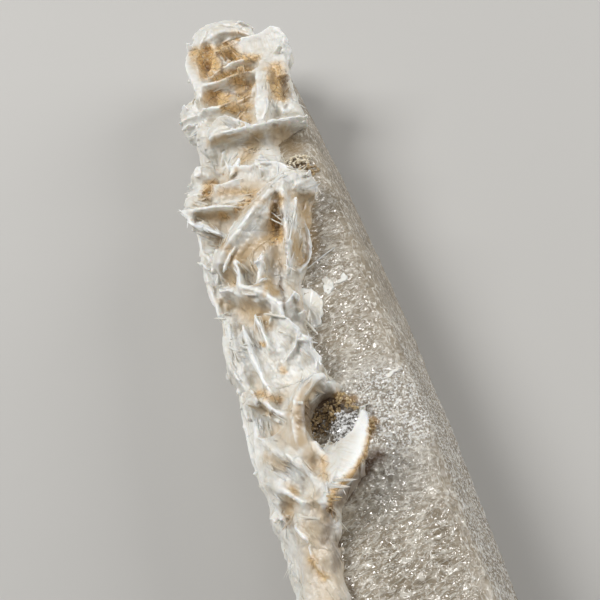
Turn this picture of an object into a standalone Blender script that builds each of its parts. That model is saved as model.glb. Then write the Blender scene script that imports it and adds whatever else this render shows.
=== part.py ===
"""A quartz floater: one long etched quartz shaft, lying on its flat back face, with a crust of
white blades and lumps grown down one side of it and round its thin end.

Frame: metres, +Z up. The shaft runs along Y, with its thin end towards +Y. The crust is on the
-X side and on top. The shaft's flat back face is the plane z = 0, and the origin is the bottom
centre of the whole piece's box.

Lengths are written in millimetres. A place on the crust is (across, along, lift): across is X,
along is Y, and lift is the height over the crown of the shaft's front face at that place.
"""
import math
from collections import namedtuple

import bmesh
import bpy
import numpy as np
from mathutils import Matrix, Vector, noise

MM = 0.001

# ---- driving dimensions of the shaft, in mm ----
THICK_END = -48.0          # along, the tip of the thick end
THIN_END = 45.5            # along, the shaft's own thin end, inside the knob
THICK_HALF = 9.5           # half width to the right of the spine at the thick end
TAPER = 4.3                # how much of that half width is lost by the thin end
TAPER_POWER = 2.6          # the taper is slow at first and quick near the thin end
LEFT_SHARE = 0.92          # the left half is a little narrower than the right
HEIGHT_SHARE = 1.44        # height of the crown over the right half width
APEX = (2.2, 7.6)          # across and height of that point, off the middle as in most crystals
POINT_FACES = [            # each face of the point: the way it looks round Y, and its slope
    (0, 0.76),
    (58, 1.10),
    (121, 0.80),
    (180, 1.30),
    (239, 0.84),
    (300, 1.05),
]
SAME_PLACE = 0.01          # points of a cut nearer than this are one
THIN_TIP = 4.0             # length over which the thin end closes
CORNER_ROUND = 0.30        # how far the etching has rounded each edge, as a share of a face
ROW_STEP = 2.6             # spacing of the shaft's rows along Y
ETCH_SWELL = 0.16          # height of the broad swells left by the etching
# corners of the six-sided section: side, share of the half width, share of the height
SECTION = [
    (1, 0.60, 0.00),
    (1, 1.00, 0.46),
    (1, 0.70, 0.97),
    (-1, 0.62, 0.96),
    (-1, 1.00, 0.48),
    (-1, 0.60, 0.00),
]
CROWN_AT = 0.05            # where the front face is highest, as a share of the right half width
MIDDLE = (0.4, 0.45)       # middle of the section: across in mm, and share of the crown's height
THIN_LEAST = 0.12          # share of the section left where the thin end closes
THIN_CURVE = 0.6           # how roundly it closes: 1 is a cone
THIN_ROW_STEP = 1.3        # spacing of the rows there
BACK_FLAT = 0.02           # under this share of the height the back face stays flat

# ---- driving dimensions of the crust, in mm ----
NODE_GAP = 0.3             # gap between the crust, the pocket's druse and the shaft
GAP_SPARE = 0.05           # what the crust's cut adds to it, for the facets of the two skins
CRUST_ROOT = 2.0           # depth of the crust's forms inside the shaft before the shaft is cut out
LUMP_SWELL = 0.32          # height of the random lumps of the crust
CRUST_ROW_STEP = 2.0
SKIN_VOXEL = 0.2           # fineness at which the crust's forms are welded into one skin
CRUST_TRIANGLES = 6900     # faces kept on that skin
BED_POINTS = 10            # points round the bed's outside
BED_INNER = (9, 6, 4, 0)   # which of them have a partner inside the shaft

# the bed's thickness round it: places as shares of the way round, and which part counts there
BED_SHARES = (0.0, 0.12, 0.4, 0.62, 0.9, 1.0)
BED_THIN = 0.45            # at its two ends the bed keeps this share of its thickness

# along, right toe on the front face, thickness on the face, thickness on the left side, share of
# the height where the crust ends on the left side
CRUST_BAND = [
    (-34.5, -6.6, 0.5, 0.5, 0.66),
    (-31.0, -5.6, 0.9, 0.8, 0.60),
    (-26.0, -4.9, 1.1, 1.0, 0.52),
    (-21.5, -4.5, 1.1, 1.0, 0.46),
    (-18.5, -3.4, 1.5, 1.0, 0.38),
    (-16.0, -0.6, 1.7, 1.4, 0.30),
    (-12.5, 0.9, 1.5, 1.6, 0.26),
    (-9.0, 0.7, 1.6, 1.5, 0.26),
    (-6.0, -0.8, 1.8, 1.3, 0.26),
    (-3.0, -1.6, 1.9, 1.8, 0.24),
    (1.0, -1.8, 2.0, 2.1, 0.22),
    (5.0, -1.2, 1.9, 2.1, 0.22),
    (9.0, 0.6, 1.9, 2.0, 0.22),
    (13.0, 1.8, 2.0, 2.0, 0.24),
    (16.5, 2.8, 2.1, 2.4, 0.24),
    (20.0, 1.6, 1.8, 2.4, 0.26),
    (23.0, 0.8, 1.2, 1.8, 0.28),
    (25.5, 1.2, 0.9, 1.2, 0.26),
    (28.0, 4.6, 1.3, 2.0, 0.24),
    (32.0, 4.7, 1.3, 2.2, 0.22),
    (37.0, 5.0, 1.5, 2.0, 0.20),
    (41.0, 4.6, 2.0, 2.2, 0.18),
]

# A fin is a blade or a plate: its crest runs through places, and from there it goes down (or
# sideways) by the vector sink to its root inside the crust. edge and root are its thicknesses, cup
# bends it sideways between the two, and gather (0 to 1) draws the root together, as in a fan.
Fin = namedtuple("Fin", "name crest sink edge root cup gather", defaults=(0.0, 0.0))
FIN_END_THIN = 0.45        # thickness at the two ends of a crest, as a share of the whole
FIN_END_RUN = 4.0          # how quickly the crest reaches its whole thickness
FIN_WAVE = 0.25            # how far its crest wanders sideways
FIN_NICK = 0.3             # how deep its edge is nibbled
WAIST_AT = 0.45            # where the blade's waist is on the way from its crest to its root

FINS = [
    # the knob round the thin end: walls, plates and the partitions between its cells
    Fin("knob_left_wall",
        [(-3.8, 47.2, 2.6), (-5.2, 45.0, 3.0), (-6.0, 42.3, 3.2), (-6.3, 40.1, 3.2), (-6.2, 37.5, 3.0),
         (-6.3, 35.0, 2.4)],
        sink=(0.5, 0.0, -5.0), edge=1.4, root=2.2, cup=0.2),
    Fin("knob_top_wall",
        [(-5.2, 46.9, 2.6), (-3.2, 47.6, 3.0), (-0.8, 47.3, 3.0), (1.3, 46.0, 3.0), (2.1, 44.0, 2.8)],
        sink=(-0.4, -0.8, -5.0), edge=1.3, root=2.2),
    Fin("knob_inner_fold",
        [(-3.9, 45.0, 3.3), (-1.8, 45.4, 3.6), (0.1, 44.8, 3.6), (1.7, 43.5, 3.4)],
        sink=(0.0, 0.4, -3.0), edge=0.5, root=0.8),
    Fin("cell_ridge",
        [(-3.3, 44.9, 2.8), (-2.7, 42.9, 2.5), (-2.3, 40.4, 2.4)],
        sink=(-0.5, 0.0, -3.0), edge=0.4, root=0.9),
    Fin("white_plate",
        [(-1.4, 42.8, 3.6), (0.6, 42.2, 4.1), (2.6, 41.5, 4.5), (4.5, 41.3, 5.2), (5.6, 39.7, 4.3),
         (5.9, 38.2, 3.2)],
        sink=(0.7, -6.4, -1.4), edge=0.7, root=1.3, cup=0.4, gather=0.8),
    Fin("partition_high",
        [(-4.6, 38.0, 2.6), (-1.8, 38.9, 3.2), (0.3, 38.8, 3.3), (2.5, 39.1, 3.2)],
        sink=(0.0, 0.5, -3.0), edge=0.45, root=0.9),
    Fin("partition_low",
        [(-6.4, 36.4, 2.6), (-3.6, 36.3, 3.0), (-1.2, 36.5, 3.2), (0.6, 36.2, 3.2)],
        sink=(0.2, 0.2, -3.0), edge=0.45, root=0.9),
    Fin("partition_near",
        [(-6.2, 32.8, 2.4), (-3.8, 32.0, 2.8), (-2.2, 32.6, 2.8)],
        sink=(0.0, -0.2, -2.6), edge=0.5, root=1.0),
    Fin("ribbed_column",
        [(2.0, 37.6, 3.4), (1.3, 33.7, 3.5), (0.5, 30.5, 3.3), (-0.3, 27.0, 2.8)],
        sink=(0.2, 0.0, -3.6), edge=1.5, root=2.6),
    Fin("column_flank",
        [(3.0, 36.4, 3.0), (2.6, 32.6, 2.5), (2.5, 28.6, 2.2)],
        sink=(0.2, 0.0, -2.6), edge=0.4, root=1.0),
    Fin("ledge",
        [(-6.3, 27.4, 2.4), (-3.8, 26.7, 3.3), (-1.1, 26.2, 3.6), (1.9, 26.3, 3.4), (5.0, 26.5, 2.7)],
        sink=(-0.3, 1.6, -3.4), edge=0.45, root=1.5, cup=-0.3),
    Fin("ledge_sail",
        [(-5.9, 28.4, 2.3), (-4.3, 29.6, 3.2), (-2.6, 27.8, 3.3)],
        sink=(-0.4, -0.6, -2.6), edge=0.5, root=1.5),
    # the fan of plates and the spiky left edge
    Fin("fan_rim",
        [(-5.2, 22.9, 1.7), (-2.4, 21.0, 2.7), (-0.4, 20.4, 3.1), (0.9, 19.2, 3.1), (1.9, 17.9, 2.8)],
        sink=(-1.6, -5.8, -1.8), edge=0.4, root=1.4, cup=0.5, gather=0.45),
    Fin("fan_spike",
        [(-1.4, 23.0, 2.2), (-1.7, 21.6, 2.9), (-2.0, 19.6, 3.2)],
        sink=(0.1, -0.4, -2.2), edge=0.3, root=0.8),
    Fin("fan_left",
        [(-7.4, 21.0, 1.6), (-6.4, 19.6, 2.6), (-4.2, 19.3, 2.9)],
        sink=(-0.6, -2.8, -2.2), edge=0.4, root=1.1, cup=0.3),
    Fin("flank_plate",
        [(-7.6, 25.4, 0.0), (-9.4, 23.8, -0.7), (-9.8, 21.8, -1.0), (-10.2, 19.0, -1.2)],
        sink=(2.4, -0.6, -2.4), edge=0.5, root=1.6),
    Fin("cross_blade",
        [(-11.2, 18.6, 0.9), (-8.7, 16.9, 2.4), (-5.6, 15.6, 3.1)],
        sink=(0.8, 0.9, -2.8), edge=0.4, root=1.1),
    Fin("lower_blade",
        [(-11.1, 18.2, 0.8), (-10.0, 15.7, 1.4), (-8.2, 13.3, 2.3)],
        sink=(1.2, 1.2, -2.8), edge=0.4, root=1.2),
    Fin("edge_spike_a",
        [(-10.9, 20.9, -0.4), (-9.6, 19.8, 0.6), (-8.2, 19.2, 1.4)],
        sink=(0.8, 0.4, -2.0), edge=0.4, root=1.2),
    Fin("edge_spike_b",
        [(-10.4, 22.4, -0.8), (-9.2, 21.6, 0.2), (-8.0, 21.4, 0.8)],
        sink=(0.8, 0.4, -2.0), edge=0.4, root=1.2),
    # the big S-shaped ridge with its nub, and the long blade standing beside it
    Fin("s_ridge",
        [(3.0, 16.8, 3.2), (0.4, 16.2, 4.4), (-2.4, 13.9, 4.8), (-4.6, 12.0, 4.7), (-6.0, 10.6, 4.4),
         (-7.1, 9.7, 3.7), (-8.2, 8.7, 2.8)],
        sink=(-0.6, 1.9, -4.4), edge=0.6, root=2.0, cup=-0.4),
    Fin("s_ridge_front",
        [(-2.3, 12.9, 3.4), (-4.2, 11.3, 3.5), (-5.9, 9.6, 3.2), (-7.4, 8.2, 2.6)],
        sink=(0.3, 0.2, -2.6), edge=0.6, root=1.6),
    Fin("long_blade",
        [(-0.1, 15.6, 4.5), (-1.0, 10.3, 4.5), (-1.9, 6.2, 3.8)],
        sink=(0.0, -0.3, -3.0), edge=0.4, root=0.9),
    Fin("short_blade",
        [(0.8, 14.6, 3.4), (0.0, 10.7, 3.9), (-0.9, 8.2, 3.7)],
        sink=(-0.3, -0.3, -2.6), edge=0.35, root=0.8),
    Fin("right_panel",
        [(0.9, 13.2, 1.6), (1.2, 10.6, 1.5), (0.6, 7.6, 1.3), (-0.8, 6.0, 1.2)],
        sink=(-1.8, 0.0, -1.4), edge=0.3, root=1.0),
    # the facets between the ridge and the long plates
    Fin("flank_edge_upper",
        [(-10.2, 16.4, -0.8), (-10.3, 13.0, -0.6), (-10.4, 10.0, -0.6), (-10.3, 7.6, -0.6),
         (-10.0, 4.8, -0.8)],
        sink=(2.4, 0.0, -1.6), edge=0.8, root=2.2),
    Fin("cream_ridge",
        [(-6.7, 8.1, 3.2), (-6.8, 6.3, 3.3), (-7.1, 5.0, 3.4), (-5.5, 3.6, 3.7), (-4.2, 2.3, 3.7),
         (-3.3, 1.4, 3.6), (-2.1, 2.9, 3.0)],
        sink=(0.0, 0.2, -2.8), edge=0.4, root=1.5),
    Fin("slant_fin",
        [(-4.0, 7.8, 3.5), (-4.8, 5.8, 3.7), (-5.4, 4.4, 3.4)],
        sink=(0.2, 0.1, -2.4), edge=0.35, root=1.0),
    Fin("panel_fin",
        [(-4.4, 5.6, 3.0), (-4.6, 3.7, 3.3), (-4.6, 2.4, 3.3)],
        sink=(0.3, 0.0, -2.2), edge=0.35, root=0.9),
    Fin("left_fin",
        [(-9.0, 6.4, 1.2), (-8.3, 5.6, 2.1), (-7.1, 4.2, 2.8), (-5.7, 2.8, 3.0)],
        sink=(0.2, 0.8, -2.6), edge=0.45, root=1.4),
    # the long layered plates
    Fin("outer_lobe",
        [(-9.6, 4.4, -1.4), (-9.7, 1.5, -1.2), (-9.8, -1.1, -1.0), (-9.6, -3.4, -0.8), (-8.8, -4.8, -0.2)],
        sink=(2.8, 0.0, -0.6), edge=0.9, root=2.4, cup=0.4),
    Fin("outer_lobe_top",
        [(-9.3, 2.4, 0.9), (-9.5, -0.6, 1.2), (-9.2, -3.4, 1.2), (-8.6, -5.4, 0.9)],
        sink=(1.2, 0.0, -2.8), edge=0.9, root=2.2),
    Fin("inner_panel",
        [(-7.6, 1.0, 2.4), (-7.5, -2.0, 2.7), (-7.2, -5.0, 2.7), (-6.6, -7.2, 2.5)],
        sink=(0.7, 0.0, -2.6), edge=0.6, root=1.6),
    Fin("recess_wall",
        [(-6.1, 1.4, 3.1), (-5.9, -0.8, 3.1), (-5.6, -2.6, 2.9)],
        sink=(0.2, 0.0, -2.2), edge=0.3, root=0.8),
    Fin("long_fan",
        [(-4.3, 1.7, 3.5), (-3.0, -0.8, 3.3), (-2.2, -2.6, 2.9), (-1.2, -4.9, 2.2)],
        sink=(-3.0, -3.2, -1.8), edge=0.4, root=1.6, cup=0.6, gather=0.4),
    Fin("tongue",
        [(-2.4, 4.6, 1.5), (-1.9, 2.6, 1.7), (-1.7, 0.7, 1.5)],
        sink=(-0.7, 0.3, -1.8), edge=0.6, root=1.4),
    # the lip of the pocket, its crumbs and the big flap with its rim
    Fin("pocket_lip",
        [(-1.5, -6.6, 2.5), (-3.2, -7.7, 3.2), (-4.6, -9.9, 3.5), (-5.1, -12.2, 3.4), (-4.9, -14.0, 3.0)],
        sink=(-0.9, 0.5, -3.0), edge=1.1, root=2.2),
    Fin("crumb_ridge",
        [(-1.6, -7.3, 1.7), (-0.2, -8.1, 1.8), (0.8, -8.9, 1.4)],
        sink=(-0.2, 0.3, -1.8), edge=0.6, root=1.2),
    Fin("flap_upper",
        [(-0.6, -9.5, 1.7), (0.2, -9.9, 2.0), (1.0, -10.6, 1.9)],
        sink=(0.2, 0.7, -1.9), edge=0.3, root=0.8),
    Fin("flap",
        [(1.0, -10.8, 2.4), (1.1, -12.6, 3.1), (0.3, -14.8, 3.6), (-1.1, -16.8, 3.7), (-2.6, -18.2, 3.5),
         (-4.0, -19.0, 2.9)],
        sink=(-1.9, 1.6, -2.8), edge=0.5, root=1.7, cup=-0.9),
    Fin("flap_fold",
        [(-3.9, -12.9, 2.7), (-3.5, -15.0, 2.9), (-3.2, -16.8, 2.9)],
        sink=(-0.1, 0.3, -2.0), edge=0.5, root=1.1),
    # the lower left plates with their toothed edge
    Fin("cross_fin",
        [(-8.6, -6.6, 1.4), (-7.4, -7.7, 2.5), (-6.5, -9.0, 2.9), (-5.4, -10.3, 3.2)],
        sink=(0.3, 0.6, -2.6), edge=0.45, root=1.3),
    Fin("left_plate",
        [(-8.7, -6.9, 0.6), (-8.9, -9.6, 0.6), (-9.3, -12.6, 0.6), (-9.1, -15.1, 0.6), (-8.5, -17.2, 0.4),
         (-7.9, -19.0, 0.2)],
        sink=(1.8, 0.4, -2.6), edge=0.6, root=2.0, cup=0.4),
    Fin("lens_upper",
        [(-8.4, -11.2, 2.0), (-7.2, -13.2, 2.9), (-5.6, -14.8, 3.1), (-4.9, -17.2, 2.7)],
        sink=(0.0, 1.2, -2.6), edge=0.45, root=1.4),
    Fin("lens_lower",
        [(-8.8, -15.2, 1.4), (-7.4, -16.6, 2.5), (-6.2, -17.9, 2.5)],
        sink=(0.1, 1.0, -2.6), edge=0.45, root=1.4),
    # the back of the crust, low on the left side of the shaft
    Fin("back_ledge_far",
        [(-6.8, 40.0, -3.8), (-8.0, 35.0, -4.2), (-8.3, 30.0, -4.6)],
        sink=(2.6, 0.0, 0.3), edge=0.6, root=1.8),
    Fin("back_ledge_mid",
        [(-8.6, 22.0, -5.2), (-9.9, 15.0, -6.0), (-9.6, 8.0, -6.6)],
        sink=(2.8, 0.0, 0.5), edge=0.6, root=1.8),
    Fin("back_ledge_near",
        [(-9.8, 2.0, -7.0), (-10.5, -5.0, -7.0), (-10.2, -12.0, -6.4)],
        sink=(2.8, 0.0, 0.6), edge=0.6, root=1.8),
]

# A lump is a rounded swelling: its centre as a place, its radii, and a turn about Z in degrees.
Lump = namedtuple("Lump", "name centre radii turn", defaults=(0.0,))
LUMP_UNEVEN = 0.16         # how far a lump's radius varies, as a share of it
LUMP_SPREAD = 3.0          # how fast that changes round the lump

LUMPS = [
    # the knob's body round the shaft's thin end
    Lump("knob_body_far", (-2.0, 44.2, -2.6), (3.8, 3.2, 4.4)),
    Lump("knob_body_left", (-3.6, 40.6, -2.2), (3.2, 4.6, 4.2), 6.0),
    Lump("knob_body_right", (2.0, 42.2, -2.6), (3.4, 2.6, 3.8)),
    Lump("knob_top_lump_a", (-3.0, 46.3, 2.2), (1.9, 1.3, 1.5), 10.0),
    Lump("knob_top_lump_b", (-0.2, 46.1, 2.3), (1.7, 1.3, 1.4), -20.0),
    Lump("knob_side_lump", (5.0, 38.9, 1.4), (0.9, 1.3, 1.3)),
    Lump("left_lobe", (-7.3, 33.6, -0.6), (2.0, 2.7, 2.6), 8.0),
    Lump("left_lobe_low", (-6.5, 29.2, -0.2), (1.4, 2.4, 1.8), 14.0),
    Lump("tan_block", (3.7, 29.6, 0.9), (1.0, 1.6, 1.2), 20.0),
    # the fan's left edge
    Lump("fan_shoulder", (-8.2, 23.6, -0.6), (1.3, 1.7, 1.6), 20.0),
    Lump("spike_root", (-9.4, 19.4, -1.0), (1.5, 2.2, 1.8)),
    Lump("nub", (2.0, 16.4, 1.9), (1.7, 1.9, 1.6), 15.0),
    Lump("beige_hump", (-4.1, 9.4, 1.3), (2.8, 2.5, 1.6), 30.0),
    Lump("outer_lobe_body", (-8.6, -1.0, -1.4), (1.6, 4.2, 3.0), 2.0),
    Lump("low_knob", (-8.2, -6.6, 0.2), (1.1, 1.1, 1.3)),
    Lump("lens_hump", (-6.3, -13.9, 1.0), (2.7, 3.4, 1.7), 12.0),
    # the knobbly column down the thick half
    Lump("column_top", (-5.7, -19.4, 0.4), (2.0, 2.1, 1.7)),
    Lump("column_b", (-6.2, -22.3, 0.1), (1.5, 2.6, 1.5), -10.0),
    Lump("column_c", (-6.4, -25.8, 0.0), (1.7, 2.8, 1.5), 5.0),
    Lump("column_d", (-6.3, -29.2, -0.1), (1.6, 2.6, 1.3), -8.0),
    Lump("column_e", (-7.0, -32.2, -0.8), (1.2, 1.9, 1.1)),
]

# A hollow is a pit cut in the crust, written as a lump is.
HOLLOWS = [
    Lump("cell_scallop_left", (-5.0, 42.4, 3.2), (1.3, 2.5, 3.3), 8.0),
    Lump("cell_scallop_right", (-1.4, 42.2, 3.2), (1.2, 1.7, 3.2), 10.0),
    Lump("cell_behind_plate", (1.2, 43.3, 3.2), (1.3, 1.3, 3.0)),
    Lump("cell_middle", (-1.2, 38.0, 3.0), (1.3, 1.0, 2.6), 10.0),
    Lump("cell_left", (-4.8, 35.0, 3.0), (1.3, 1.5, 2.4), 10.0),
    Lump("cell_near", (-2.9, 30.6, 3.0), (1.5, 1.4, 2.4)),
    Lump("hollow_by_shaft", (4.2, 33.6, 2.4), (1.0, 3.2, 2.3), 10.0),
    Lump("recess", (-3.4, 24.6, 2.6), (3.2, 1.6, 2.3), 12.0),
    Lump("hollow_left", (-8.6, 19.6, 1.6), (0.9, 1.5, 1.6), -20.0),
    Lump("hollow_triangle", (-8.1, 14.6, 2.2), (1.3, 1.3, 2.2), 20.0),
    Lump("hollow_dark", (-1.4, 13.0, 3.0), (1.0, 1.9, 2.4), -12.0),
    Lump("hollow_upper_facet", (-8.2, 7.4, 1.9), (1.1, 1.5, 1.8)),
    Lump("hollow_lens", (-7.1, -8.0, 2.6), (1.1, 1.0, 1.8), 30.0),
]
# the open pocket goes right through the crust, and goes on as an etched pit in the shaft
POCKET = Lump("pocket", (-1.9, -10.4, 1.4), (2.5, 2.9, 4.0), -24.0)
SHAFT_PIT = Lump("shaft_pit", (-3.0, -9.9, -0.5), (1.0, 1.6, 1.7), -20.0)

# the druse on the pocket's floor: a thin bed set with small six-sided points
DRUSE_MIDDLE = (-1.1, -11.1)
DRUSE_HALF_SIZE = (1.05, 1.25)
DRUSE_BED = 0.3            # thickness of the bed
DRUSE_POINT = 0.5          # height of the points over the bed
DRUSE_SPACING = 0.52       # from point to point
DRUSE_UNEVEN = 0.3         # how much the points differ in height
DRUSE_LEAN = 0.06          # and how far they lean

# what moves the spine so that the origin is the middle of the whole piece's box
BOX_SHIFT = (0.985, -0.16)

# what is uneven by chance: the size of its swells in mm, and its seed
UNEVENNESS = {
    "etching": (6.5, 4.0),
    "bed": (2.4, 7.0),
    "fin_wave": (2.6, 9.0),
    "fin_nick": (1.7, 2.0),
    "lump": (2.2, 5.0),
    "druse_height": (0.7, 3.0),
    "druse_lean": (0.6, 8.0),
}

# colour, roughness and metallic value of each piece
FINISHES = {
    "shaft": ((0.36, 0.32, 0.26), 0.42, 0.0),
    "blade_crust": ((0.72, 0.68, 0.60), 0.55, 0.0),
    "hollow_druse": ((0.55, 0.50, 0.42), 0.15, 0.0),
}
SMOOTH_UNDER = {"shaft": 24, "blade_crust": 38, "hollow_druse": 5}   # degrees between two faces


def right_half(along):
    """Half width of the shaft to the right of its spine."""
    share = min(max((along - THICK_END) / (THIN_END - THICK_END), 0.0), 1.0)
    return THICK_HALF - TAPER * share ** TAPER_POWER


def crown(along):
    """Height of the front face's crown."""
    return HEIGHT_SHARE * right_half(along)


def thin_fullness(along):
    """1 along the shaft, falling towards 0 in the rounded end inside the knob."""
    share = min(max((THIN_END - along) / THIN_TIP, 0.0), 1.0)
    return max(THIN_LEAST, share ** THIN_CURVE)


def section_corners(along, grow=0.0):
    """The six corners and the crown of the section at a place along the shaft, as (x, z)."""
    corners = []
    for side, width_share, height_share in SECTION:
        half = right_half(along) * (1.0 if side > 0 else LEFT_SHARE)
        corners.append((side * width_share * half, height_share * crown(along)))
    corners.insert(3, (CROWN_AT * right_half(along), crown(along)))
    middle = np.array([MIDDLE[0], MIDDLE[1] * crown(along)])
    points = middle + (np.array(corners) - middle) * thin_fullness(along)
    away = points - middle
    return points + away / np.linalg.norm(away, axis=1)[:, None] * grow


def rounded_section(along, grow=0.0):
    """The section with each corner but the crown turned into three points of an arc."""
    corners = section_corners(along, grow)
    points = []
    count = len(corners)
    for index in range(count):
        here = corners[index]
        if index == 3:
            points.append(here)
            continue
        before = here + (corners[index - 1] - here) * CORNER_ROUND
        after = here + (corners[(index + 1) % count] - here) * CORNER_ROUND
        points += [before, 0.25 * before + 0.5 * here + 0.25 * after, after]
    return np.array(points)


def rows_between(start, end, step):
    count = max(2, round((end - start) / step) + 1)
    return list(np.linspace(start, end, count))


def shaft_rows():
    """Places of the shaft's rows: even along it, closer together where the thin end closes."""
    body_end = THIN_END - THIN_TIP
    return (rows_between(THICK_END - 1.0, body_end, ROW_STEP)
            + rows_between(body_end, THIN_END, THIN_ROW_STEP)[1:])


def cut_point(shaft):
    """Cut the thick end to its point with six sloping planes through the apex."""
    shape = bmesh.new()
    shape.from_mesh(shaft.data)
    apex = Vector((APEX[0], THICK_END, APEX[1])) * MM
    for turn, slope in POINT_FACES:
        angle = math.radians(turn)
        outward = Vector((math.cos(angle), -slope, math.sin(angle)))
        everything = shape.verts[:] + shape.edges[:] + shape.faces[:]
        cut = bmesh.ops.bisect_plane(shape, geom=everything, plane_co=apex, plane_no=outward,
                                     dist=SAME_PLACE * MM, clear_outer=True)
        rim = [part for part in cut["geom_cut"] if isinstance(part, bmesh.types.BMEdge)]
        bmesh.ops.contextual_create(shape, geom=rim)
    bmesh.ops.triangulate(shape, faces=shape.faces[:])
    shape.to_mesh(shaft.data)
    shape.free()


def mesh_object(name, rings):
    """A closed solid from rings of equal length, its ends filled, with its faces pointing out."""
    mesh = bpy.data.meshes.new(name)
    shape = bmesh.new()
    loops = [[shape.verts.new(Vector(point) * MM) for point in ring] for ring in rings]
    for one, two in zip(loops, loops[1:]):
        for index in range(len(one)):
            following = (index + 1) % len(one)
            shape.faces.new((one[index], one[following], two[following], two[index]))
    shape.faces.new(loops[0])
    shape.faces.new(loops[-1])
    bmesh.ops.triangulate(shape, faces=shape.faces[:])
    bmesh.ops.recalc_face_normals(shape, faces=shape.faces[:])
    shape.to_mesh(mesh)
    shape.free()
    made = bpy.data.objects.new(name, mesh)
    bpy.context.scene.collection.objects.link(made)
    return made


def swell(point, kind):
    """A smooth random number of about -1 to 1 at a place in mm."""
    size, seed = UNEVENNESS[kind]
    return 2.0 * noise.noise(Vector(point) / size + Vector((seed, 3.7 * seed, 1.3 * seed)))


def shaft_solid(name, grow=0.0):
    """The shaft, or with grow a copy that is fatter by that much on every side but its ends."""
    rings = []
    for along in shaft_rows():
        lifted = rounded_section(along, grow)
        middle = lifted.mean(axis=0)
        ring = []
        for x, z in lifted:
            reach = Vector((x - middle[0], z - middle[1])).normalized()
            height = ETCH_SWELL * swell((x, along, z), "etching")
            if z < BACK_FLAT * crown(along) and grow == 0.0:
                height = 0.0
            raised = z + reach.y * height
            if grow == 0.0:
                raised = max(raised, 0.0)
            ring.append((x + reach.x * height, along, raised))
        rings.append(ring)
    return mesh_object(name, rings)


def place(across, along, lift):
    """A place on the crust as a point in mm."""
    return Vector((across, along, crown(along) + lift))


def curve_through(points, count):
    """Points at even steps of a smooth curve through the given ones (Catmull-Rom)."""
    ends = [points[0] * 2 - points[1]] + points + [points[-1] * 2 - points[-2]]
    made = []
    for step in range(count):
        position = step / (count - 1) * (len(points) - 1)
        index = min(int(position), len(points) - 2)
        t = position - index
        a, b, c, d = ends[index:index + 4]
        made.append(0.5 * (2 * b + (c - a) * t + (2 * a - 5 * b + 4 * c - d) * t * t
                           + (3 * b - a - 3 * c + d) * t ** 3))
    return made


def fin_solid(fin):
    """A blade: six points round its section, carried along its crest."""
    knots = [place(*spot) for spot in fin.crest]
    stations = 3 * len(knots) - 1
    crest = curve_through(knots, stations)
    sink = Vector(fin.sink)
    gathered = sum(crest, Vector()) / stations + sink
    rings = []
    for index, top in enumerate(crest):
        ahead = crest[min(index + 1, stations - 1)] - crest[max(index - 1, 0)]
        side = ahead.cross(sink).normalized()
        end_share = min(index, stations - 1 - index) / (stations - 1)
        fat = FIN_END_THIN + (1.0 - FIN_END_THIN) * min(1.0, FIN_END_RUN * end_share)
        wave = FIN_WAVE * swell(top, "fin_wave")
        nick = FIN_NICK * abs(swell(top, "fin_nick"))
        top = top + side * wave + sink.normalized() * nick
        foot = (top + sink).lerp(gathered, fin.gather)
        waist = top.lerp(foot, WAIST_AT) + side * (fin.cup + wave)
        half_edge = 0.5 * fin.edge * fat
        half_waist = 0.5 * (fin.edge + (fin.root - fin.edge) * (1.0 - WAIST_AT)) * fat
        half_root = 0.5 * fin.root * fat
        rings.append([top - side * half_edge, waist - side * half_waist, foot - side * half_root,
                      foot + side * half_root, waist + side * half_waist, top + side * half_edge])
    return mesh_object("form_" + fin.name, rings)


def lump_solid(lump):
    """A rounded swelling: a sphere of flat faces, stretched, turned and made uneven."""
    mesh = bpy.data.meshes.new(lump.name)
    shape = bmesh.new()
    bmesh.ops.create_icosphere(shape, subdivisions=2, radius=1.0)
    turn = Matrix.Rotation(math.radians(lump.turn), 3, "Z")
    centre = place(*lump.centre)
    for vert in shape.verts:
        uneven = 1.0 + LUMP_UNEVEN * swell(vert.co * LUMP_SPREAD + centre, "lump")
        stretched = Vector([size * part * uneven for size, part in zip(lump.radii, vert.co)])
        vert.co = (turn @ stretched + centre) * MM
    shape.to_mesh(mesh)
    shape.free()
    made = bpy.data.objects.new("form_" + lump.name, mesh)
    bpy.context.scene.collection.objects.link(made)
    return made


def left_path(along, toe, end_share):
    """The way over the shaft's skin from the toe on its face round to the end on its left side."""
    corners = section_corners(along)
    widest, upper = SECTION[4][2], SECTION[3][2]
    if end_share < widest:
        end = corners[5] + (corners[6] - corners[5]) * (1.0 - end_share / widest)
    else:
        end = corners[5] + (corners[4] - corners[5]) * (end_share - widest) / (upper - widest)
    toe_z = np.interp(toe, [corners[4][0], corners[3][0], corners[2][0]],
                      [corners[4][1], corners[3][1], corners[2][1]])
    knots = [np.array([toe, toe_z])]
    if toe > corners[3][0]:
        knots.append(corners[3])
    knots += [corners[4], corners[5], end] if end_share < widest else [corners[4], end]
    return np.array(knots)


def along_path(knots, count):
    """Even points of a polyline, and the way out of the shaft at each."""
    lengths = np.concatenate([[0.0], np.cumsum(np.linalg.norm(np.diff(knots, axis=0), axis=1))])
    spots = np.linspace(0.0, lengths[-1], count)
    points = np.stack([np.interp(spots, lengths, knots[:, axis]) for axis in (0, 1)], axis=1)
    runs = np.gradient(points, axis=0)
    outward = np.stack([runs[:, 1], -runs[:, 0]], axis=1)
    return points, outward / np.linalg.norm(outward, axis=1)[:, None]


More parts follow.
